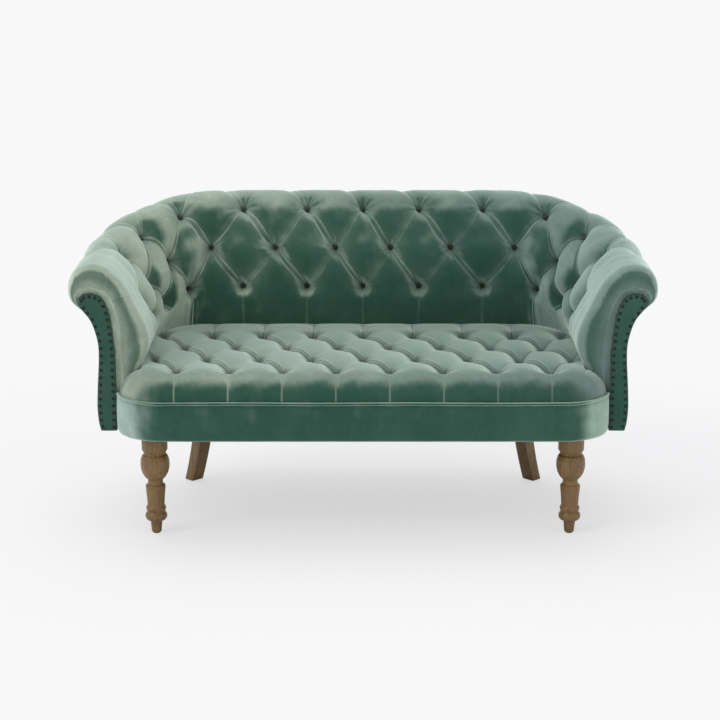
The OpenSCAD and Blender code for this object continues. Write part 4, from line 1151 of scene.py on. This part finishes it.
# The seat pad: lines of points from the front edge to the rear one at each x, closed below by its feet
def seatPad(look):
    n = look["fineness"] * 2
    dx = seatPitch / n
    columns = np.arange(0, seatInner - dx * 0.4, dx)
    wing = np.linspace(0, 1, look["wingRows"]) ** look["wingPower"] * (wingReach - seatInner - 1)
    half = np.concatenate([columns, [seatInner], seatInner + 1 + wing])
    x = np.concatenate([-half[:0:-1], half])
    edge = np.linspace(0, 1, look["edgeRows"]) ** look["edgePower"]
    lines = np.concatenate([
        frontY + edgeIn + edge[:-1] * (firstRow - frontY - edgeIn),
        np.arange(firstRow, seatBack - 3, 2 * rowPitch / n),
        [seatBack],
    ])
    front, rear = seatFront(x)[:, None], seatRear(x)[:, None]
    share = np.clip((lines - lines[0]) / (firstRow - lines[0]), 0, 1)
    y = np.where(lines < firstRow, front + share * np.maximum(firstRow - front, 4), lines)
    y = np.minimum(np.maximum.accumulate(np.maximum(y, front), axis=1), rear)
    xx = np.repeat(x[:, None], len(lines), 1)
    z, sunk, u, v, d = seatSurface(xx, y, look)
    points = np.stack([xx, y, z], -1)
    normals = gridNormals(points)
    normals = np.where(normals[..., 2:] < 0, -normals, normals)
    relief, dark, pale = seatRelief(xx, y, z, u, v, d, look)
    points = points + normals * relief[..., None]
    feet = np.full((len(x), 1), couch["padBottom"])
    frontFeet, rearFeet = (np.stack([x[:, None], side, feet], -1) for side in (front, rear))
    sheet = np.concatenate([frontFeet, points, rearFeet], 1)
    edge = np.zeros((len(x), 1))
    sunk, dark, pale = (np.concatenate([edge, field, edge], 1) for field in (sunk, dark, pale))
    values, split = {"fold": dark, "pale": pale}, sheet.shape[1] - 1
    pad = ringPiece("seatPad", "seat_pad", sheet, seatVelvet, "velvet", split, -sunk, values)
    work = bmesh.new()
    work.from_mesh(pad.data)
    bmesh.ops.remove_doubles(work, verts=work.verts, dist=0.00002)
    work.to_mesh(pad.data)
    work.free()


# Buttons of the seat, upright on its sunk surface, each row half a pitch aside from the next
def seatButtons(look):
    spots = np.array([
        (across * seatPitch, firstRow + row * rowPitch)
        for row, last in enumerate(look["lasts"])
        for across in np.arange(-last, last + 0.1)
    ])
    z = seatSurface(spots[:, 0], spots[:, 1], seatLook)[0]
    origins = np.concatenate([spots, (z + look["lift"])[:, None]], 1)
    up, side = (np.repeat([way], len(spots), 0) for way in ([0.0, 0.0, 1.0], [1.0, 0.0, 0.0]))
    buttonSet("seatButtons", "seat_buttons", origins, up, side, look)


seatPad(seatLook)
seatButtons({**buttonLook, "height": 4.5, "lift": 2.0, "lasts": (3.5, 4, 3.5, 3)})  # last place of each row
print("seat made")

# Border and welt round the front
frontArc = couch["frontCorner"] * math.pi / 2
borderLook = {
    "bulge": 1.6,
    "bulgePower": 0.7,
    "edge": 2.2,
    "edgePower": 8,
    "step": 6.0,
    "rows": 26,
    "back": 2.9,
    "ripple": 0.35,
    "rippleLength": 31.0,
    "pucker": 0.25,
    "puckerLength": 12.0,
    "puckerAt": (0.7, 1.0),
}
pipingLook = {
    "radius": 4.3,
    "step": 3.0,
    "spokes": 14,
    "uneven": 0.18,
    "unevenLengths": (5.3, 17.0),
    "sway": 0.5,
    "swayLength": 70.0,
}


# Plan point of the front edge: straight across, then round each corner, n outside it
def frontPoint(s, n):
    along = np.abs(s)
    turn = np.clip((along - cornerX) / couch["frontCorner"], 0, math.pi / 2)
    x = np.minimum(along, cornerX) + (couch["frontCorner"] + n) * np.sin(turn)
    y = cornerY - (couch["frontCorner"] + n) * np.cos(turn) + np.maximum(along - cornerX - frontArc, 0)
    return sideOf(s) * x, y


# A closed section carried along the front edge: a ring of (n, z) at each station
def frontSweep(name, node, section, s):
    x, y = frontPoint(s[:, None], section[..., 0])
    rings = np.stack([x, y, section[..., 1]], -1)
    ringPiece(name, node, rings, borderVelvet, "velvet", section.shape[1] // 2)


# Even stations from one end of a run to the other
def stationsTo(end, step):
    return np.linspace(-end, end, int(2 * end / step))


# The border: a band that bulges a little, rounded at its edges, with slow ripples and puckers under the welt
def seatBorder(look):
    s = stationsTo(cornerX + frontArc, look["step"])
    t = np.linspace(0, 1, look["rows"])
    z = couch["railBottom"] + t * (couch["bandTop"] - couch["railBottom"])
    rounding = np.sqrt(np.clip(1 - (np.abs(2 * t - 1) ** look["edgePower"]), 0, 1))
    outer = look["edge"] * (rounding - 1) + look["bulge"] * np.sin(math.pi * t) ** look["bulgePower"]
    ripple = look["ripple"] * np.sin(s / look["rippleLength"])[:, None] * np.sin(math.pi * t)
    pucker = look["pucker"] * np.sin(s / look["puckerLength"] + 1)[:, None] * smoothStep(*look["puckerAt"], t)
    n = outer + ripple + pucker
    front = np.stack([n, np.repeat(z[None], len(s), 0)], -1)
    behind = np.broadcast_to([[-look["back"], z[-1]], [-look["back"], z[0]]], (len(s), 2, 2))
    frontSweep("seatBorder", "seat_border", np.concatenate([front, behind], 1), s)


# The welt: a round cord in its cloth, slightly uneven in its thickness and height
def seatPiping(look):
    turn = math.acos((cornerY - faceY) / couch["frontCorner"])
    s = stationsTo(cornerX + turn * couch["frontCorner"] - couch["beside"], look["step"])
    angle = np.linspace(0, 2 * math.pi, look["spokes"], endpoint=False)
    short, long = look["unevenLengths"]
    radius = (look["radius"] + look["uneven"] * np.sin(s / short) * np.sin(s / long + 1))[:, None]
    n = -couch["piping"] / 2 + radius * np.cos(angle)
    middle = couch["bandTop"] + couch["piping"] + look["sway"] * np.sin(s / look["swayLength"])[:, None]
    frontSweep("seatPiping", "seat_piping", np.stack([n, middle + radius * np.sin(angle)], -1), s)


seatBorder(borderLook)
seatPiping(pipingLook)
print("border and welt made")

# Outside panels and facings. The tub's outer edge, in roll radii outside the path and below the crest for
# its upper points, then in shares of the wall's thickness and of the height from the rail to the belly's top
outShares = np.array([[1.36, 1.9], [1.03, 2.34], [0.845, 2.8]])
bellyShares = np.array([[0.93, 1], [0.98, 0.81], [1.05, 0.593], [1.1, 0.33], [1.05, 0.134], [0.93, 0]])
waist = {"out": 0.95, "below": 3.4, "bellyTop": 4.0}
panelLook = {
    "step": 9.0,
    "rows": 70,
    "puff": 1.2,
    "puffLength": 160.0,
    "woodShare": 0.8,  # of the wall's thickness, where the panel's back lies on the wood
    "woodGap": 0.4,
    "behind": ((3.6, None), (2.76, 0.82), (2.3, 0.985), (1.91, 1.29)),  # below the crest, outside the path
}


# Outer edge of the tub from the tacked edge under the roll down to the rail, at each crest height
def bellyRun(top):
    top, base, tub = top[:, None], couch["railBottom"], couch["tub"]
    n = np.concatenate([outShares[:, 0] * roll, [waist["out"] * tub], bellyShares[:, 0] * tub])
    z = np.concatenate([
        top - outShares[:, 1] * roll,
        top - waist["below"] * roll,
        base + bellyShares[:, 1] * (top - waist["bellyTop"] * roll - base),
    ], 1)
    return np.stack([np.broadcast_to(n, z.shape), z], -1)


# Share of the length of a run at each of its points
def shareAlong(run):
    places = np.concatenate([[0], np.cumsum(np.linalg.norm(np.diff(run, axis=0), axis=1))])
    return places / places[-1]


# Weights of a run's points that give the places at these shares of its length, in straight steps
def evenWeights(run, shares):
    own = shareAlong(run)
    return np.stack([np.interp(shares, own, column) for column in np.eye(len(run))], -1)


# A panel: the outer edge run smoothed into many rows, with a flat back face inside it
def outsidePanel(name, node, low, high, look):
    s = np.linspace(low, high, int((high - low) / look["step"]))
    top = crestHeight(s)
    run = bellyRun(top)
    rows = np.linspace(0, 1, look["rows"])
    outer = np.einsum("tr,srk->stk", curveWeights(np.linspace(0, 1, run.shape[1]), rows), run)
    ripple = look["puff"] * unevenness(s[:, None], outer[..., 1], 0 * outer[..., 1], look["puffLength"], 5.0)
    outer[..., 0] += ripple * np.sin(math.pi * rows)
    wood = look["woodShare"] * couch["tub"] + look["woodGap"]
    places = [wood] + [wood if out is None else out * roll for below, out in look["behind"]]
    heights = [np.full(len(s), couch["railBottom"])] + [top - below * roll for below, out in look["behind"]]
    inner = np.stack([np.repeat([places], len(s), 0), np.stack(heights, -1)], -1)
    inner = np.einsum("tr,srk->stk", evenWeights(inner[0], 1 - shareAlong(outer[0])[::-1]), inner)
    ring = np.concatenate([outer, inner], 1)
    x, y = planPoint(s[:, None], ring[..., 0])
    ringPiece(name, node, np.stack([x, y, ring[..., 1]], -1), outsideVelvet, "velvet", look["rows"])


seamStation = float(stationAt(seam)[0])
outsidePanel("outsideBack", "outside_back", -seamStation, seamStation, panelLook)
outsidePanel("outsideArmLeft", "outside_arm_left", -pathLength, -seamStation, panelLook)
outsidePanel("outsideArmRight", "outside_arm_right", seamStation, pathLength, panelLook)

facingLook = {
    "soft": 3.0,
    "bulge": 0.9,
    "along": 150,
    "across": 32,
    # Painted shade along the facing's edges: its width, and its strength at the inner and the outer edge;
    # then how much of the painted sheen the facing loses
    "shade": 4.5,
    "innerShade": 1.1,
    "outerShade": 0.55,
    "calm": 0.9,
}


# A facing: a strip between the inner and outer edges of the scroll, its edges rounded and its middle padded,
# with painted shade along its edges and its painted sheen calmed
def armFacing(name, node, side, look):
    top = couch["armTop"]
    curl = np.stack([curlShares[:, 0] * roll, top - curlShares[:, 1] * roll], -1)
    inner = np.concatenate([[[0, couch["railBottom"]]], curl])
    outer = bellyRun(np.array([top]))[0][::-1]
    edges = []
    for run, knots in ((inner, shareAlong(inner)), (outer, np.linspace(0, 1, len(outer)))):
        smooth = curveWeights(knots, np.linspace(0, 1, 500)) @ run
        edges.append(evenWeights(smooth, np.linspace(0, 1, look["along"])) @ smooth)
    w = 0.5 - 0.5 * np.cos(np.linspace(0, math.pi, look["across"]))
    strip = edges[0][:, None] * (1 - w)[:, None] + edges[1][:, None] * w[:, None]
    fromEdge = np.minimum(w, 1 - w) * np.linalg.norm(edges[1] - edges[0], axis=1)[:, None]
    part = 1 - np.clip(fromEdge / look["soft"], 0, 1)
    y = faceY + look["soft"] * (1 - np.sqrt(1 - part**2)) - look["bulge"] * (1 - (2 * w - 1) ** 4)
    front = np.stack([side * (halfWidth + strip[..., 0]), y, strip[..., 1]], -1)
    back = front[:, [-1, 0]].copy()
    back[..., 1] = stumpY
    # Painted shade along the edges
    edge = bell(fromEdge, look["shade"]) * np.linspace(look["innerShade"], look["outerShade"], look["across"])
    ring = np.concatenate([front, back], 1)
    values = {
        "fold": np.concatenate([edge, np.ones(back.shape[:2])], 1),
        "calm": np.full(ring.shape[:2], look["calm"]),
    }
    ringPiece(name, node, ring, facingVelvet, "velvet", look["across"], values=values)


armFacing("facingLeft", "facing_left", -1, facingLook)
armFacing("facingRight", "facing_right", 1, facingLook)
print("panels and facings made")

# Bottom cloth
clothLook = {
    "sag": 4.0,
    "uneven": 0.8,
    "unevenLength": 120.0,
    "rings": 60,
    "spokes": 240,
    "inset": 9.0,
    "below": 0.8,
    "thick": 0.7,
}


# Plan outline of the seat ring: the front edge and the tub path joined, as one closed run
def seatOutline(inset, count):
    front, rear = cornerX + frontArc, bendX + arcLength
    frontPart = np.stack(frontPoint(np.linspace(-front, front, count), -inset), -1)
    rearPart = np.stack(planPoint(np.linspace(rear, -rear, count), -inset), -1)
    return np.concatenate([frontPart, rearPart])


# The cloth: its outline shrunk to the middle ring by ring, sagging between the rails it is tacked to
def bottomCloth(look):
    outline = seatOutline(look["inset"], look["spokes"] // 2)
    t = np.linspace(1, 0, look["rings"], endpoint=False)[:, None] ** 0.9
    centre = np.array([0.0, (frontY + backY) / 2])
    plan = centre + (outline - centre) * t[..., None]
    uneven = look["uneven"] * unevenness(plan[..., 0], plan[..., 1], 0 * plan[..., 0], look["unevenLength"])
    sag = np.maximum(look["sag"] * (1 - t**4) + uneven, 0) * (1 - t**6)
    lower = np.concatenate([plan, (couch["railBottom"] - look["below"] - sag)[..., None]], -1)
    upper = lower[::-1] + np.array([0, 0, look["thick"]])
    ringPiece("bottomCloth", "dust_cover", np.concatenate([upper, lower]), blackCloth, "black_cloth")


bottomCloth(clothLook)

# Front legs: height and radius of each point of the profile, as shares of the length and of the ball's radius
turnedProfile = np.array([
    [0, 0], [0, 0.33], [0.1, 0.4], [0.112, 0.42], [0.118, 0.5], [0.125, 0.62], [0.138, 0.705], [0.152, 0.745],
    [0.165, 0.755], [0.178, 0.745], [0.192, 0.7], [0.202, 0.63], [0.21, 0.59], [0.218, 0.63], [0.228, 0.67],
    [0.243, 0.685], [0.257, 0.67], [0.266, 0.62], [0.274, 0.58], [0.36, 0.62], [0.457, 0.684], [0.478, 0.684],
    [0.494, 0.526], [0.53, 0.508], [0.543, 0.56], [0.565, 0.72], [0.61, 0.9], [0.66, 0.985], [0.7, 1],
    [0.745, 0.97], [0.78, 0.87], [0.8, 0.72], [0.806, 0.73], [0.815, 0.79], [0.828, 0.79], [0.84, 0.887],
    [1, 0.887], [1, 0],
])
turnedLook = {
    "ball": 38.0,
    "length": 267.0,
    "bottom": 3.0,
    "spokes": 64,
    "rings": 420,
    "rounding": 4,  # rings that an arris is rounded over, each way
    "outX": 0.235,  # place of its axis from the middle of the front corner, in corner radii
    "ahead": 0.392,
}


# A turned leg: the profile run finely, its sharp arrises rounded a little, spun round the leg's axis
def turnedLeg(name, node, side, look):
    heights, radii = turnedProfile[:, 0] * look["length"], turnedProfile[:, 1] * look["ball"]
    places = np.concatenate([[0], np.cumsum(np.hypot(np.diff(radii), np.diff(heights)))])
    finely = np.linspace(0, places[-1], look["rings"])
    r, z = np.interp(finely, places, radii), np.interp(finely, places, heights)
    n = look["rounding"]
    kernel = np.exp(-(np.linspace(-2, 2, 2 * n + 1) ** 2))
    inner = slice(2 * n, -2 * n)
    r[inner] = np.convolve(r, kernel / kernel.sum(), mode="same")[inner]
    r[0] = r[-1] = 0.01
    angle = np.linspace(0, 2 * math.pi, look["spokes"], endpoint=False)
    x = side * (cornerX + look["outX"] * couch["frontCorner"]) + r[:, None] * np.cos(angle)
    y = cornerY - look["ahead"] * couch["frontCorner"] + r[:, None] * np.sin(angle)
    rings = np.stack([x, y, np.repeat(z[:, None] + look["bottom"], len(angle), 1)], -1)
    ringPiece(name, node, rings, legWood, "leg_wood")


turnedLeg("frontLegLeft", "front_leg_left", -1, turnedLook)
turnedLeg("frontLegRight", "front_leg_right", 1, turnedLook)

sabreLook = {
    "width": 40.0,
    "sweep": 56.0,
    "bow": 1.7,
    "arris": 3.0,
    "taper": (0.84, 1.08),
    "rings": 60,
    "bottom": 3.0,
    "outX": 0.111,  # place of its top from the middle of the rear corner, in corner radii
    "behind": 0.267,
}


# A sabre leg: a square section with round arrises, bowed outwards along the diagonal as it goes down
def sabreLeg(name, node, side, look):
    t = np.linspace(0, 1, look["rings"])[:, None]
    low, high = look["taper"]
    depth = look["width"] * (low + (high - low) * t) / 2 - look["arris"]
    angle = math.pi / 2 * np.arange(4)[:, None] + np.linspace(0, math.pi / 2, 6)
    quarter = (math.pi / 2 * (np.arange(4)[:, None] + 0.5) + 0 * angle).ravel()
    angle = angle.ravel()
    bow = look["sweep"] * (1 - t) ** look["bow"]
    along = np.sign(np.cos(quarter)) * depth + look["arris"] * np.cos(angle) + bow
    across = np.sign(np.sin(quarter)) * (look["width"] / 2 - look["arris"]) + look["arris"] * np.sin(angle)
    diagonal = math.sqrt(0.5)
    x = side * (bendX + look["outX"] * rearCorner + diagonal * (along + across))
    y = bendY + look["behind"] * rearCorner + diagonal * (along - across)
    z = couch["railBottom"] * t + look["bottom"] * (1 - t) + 0 * along
    ringPiece(name, node, np.stack([x, y, z], -1), legWood, "leg_wood")


sabreLeg("rearLegLeft", "rear_leg_left", -1, sabreLook)
sabreLeg("rearLegRight", "rear_leg_right", 1, sabreLook)
print("legs made")

# Floor, light and camera, in metres
stageLook = {
    "floorHalf": 60.0,
    "floor": (0.87, 0.87, 0.875, 1.0),
    "floorSpot": (0.8613, 0.8613, 0.86625, 1.0),
    "seenFloor": (0.905, 0.905, 0.915, 1.0),
    "seenShare": 0.66,
    "backdrop": (0.93, 0.922, 0.948, 1.0),
    "world": (0.97, 0.98, 1.0, 1.0),
    "worldStrength": 0.62,
}
suns = [
    # name, direction that the light travels, angle, strength, colour
    ("keySun", (0.8, 0.45, -0.75), 30.0, 0.8, (1.0, 0.98, 0.93)),
    ("topSun", (0.15, -0.5, -1.0), 60.0, 1.3, (1.0, 1.0, 1.0)),
    ("fillSun", (-0.8, 0.5, -0.45), 50.0, 0.3, (0.9, 0.95, 1.0)),
]
cameraLook = {"lens": 100.0, "sensor": 36.0, "shift": -0.004, "ahead": 4.905, "height": 1.735, "tilt": 14.28}


# The floor is pale to the camera, and still takes the couch's shadow
def floorPiece(look):
    mesh = bpy.data.meshes.new("floor")
    r = look["floorHalf"]
    mesh.from_pydata([(-r, -r, 0), (r, -r, 0), (r, r, 0), (-r, r, 0)], [], [(0, 1, 2, 3)])
    m = Shading(bpy.data.materials.new("paleFloor"))
    tint = m.noise(m.coordinates(), 0.8, detail=2.0)
    shade = m.blend(tint, look["floor"], look["floorSpot"])
    inputs = {"Base Color": shade, "Roughness": 0.9, "Specular IOR Level": 0.0}
    lit = m.node("ShaderNodeBsdfPrincipled", inputs=inputs)
    glow = m.node("ShaderNodeEmission", inputs={"Color": look["seenFloor"], "Strength": 1.0})
    seen = m.node("ShaderNodeLightPath", output="Is Camera Ray") * look["seenShare"]
    both = m.node("ShaderNodeMixShader", inputs=[seen, lit, glow])
    m.node("ShaderNodeOutputMaterial", inputs={"Surface": both})
    mesh.materials.append(m.owner)
    floor = bpy.data.objects.new("floor", mesh)
    bpy.context.scene.collection.objects.link(floor)


# The world lights the couch softly, and the camera sees it paler
def skyWorld(look):
    world = bpy.data.worlds.new("studio")
    bpy.context.scene.world = world
    m = Shading(world)
    seen = m.node("ShaderNodeLightPath", output="Is Camera Ray")
    soft = m.node("ShaderNodeBackground", inputs={"Color": look["world"], "Strength": look["worldStrength"]})
    pale = m.node("ShaderNodeBackground", inputs={"Color": look["backdrop"], "Strength": 1.0})
    both = m.node("ShaderNodeMixShader", inputs=[seen, soft, pale])
    m.node("ShaderNodeOutputWorld", inputs={"Surface": both})


# A sun turned so that its light travels along the given way
def sunLight(name, way, angle, strength, tint):
    data = bpy.data.lights.new(name, "SUN")
    data.angle, data.energy, data.color = math.radians(angle), strength, tint
    sun = bpy.data.objects.new(name, data)
    bpy.context.scene.collection.objects.link(sun)
    sun.rotation_euler = (math.atan2(math.hypot(way[0], way[1]), -way[2]), 0, math.atan2(-way[0], way[1]))


# The camera stands before the middle of the seat's front and looks down a little
def couchCamera(look):
    camera = bpy.data.objects.new("camera", bpy.data.cameras.new("camera"))
    bpy.context.scene.collection.objects.link(camera)
    camera.data.lens, camera.data.sensor_width = look["lens"], look["sensor"]
    camera.data.shift_x = look["shift"]
    camera.data.clip_end = 200
    camera.location = (0.0, frontY / 1000 - look["ahead"], look["height"])
    camera.rotation_euler = (math.radians(90 - look["tilt"]), 0, 0)
    bpy.context.scene.camera = camera


floorPiece(stageLook)
skyWorld(stageLook)
for sun in suns:
    sunLight(*sun)
couchCamera(cameraLook)
bpy.context.scene.view_settings.view_transform = "Standard"
print("stage set")
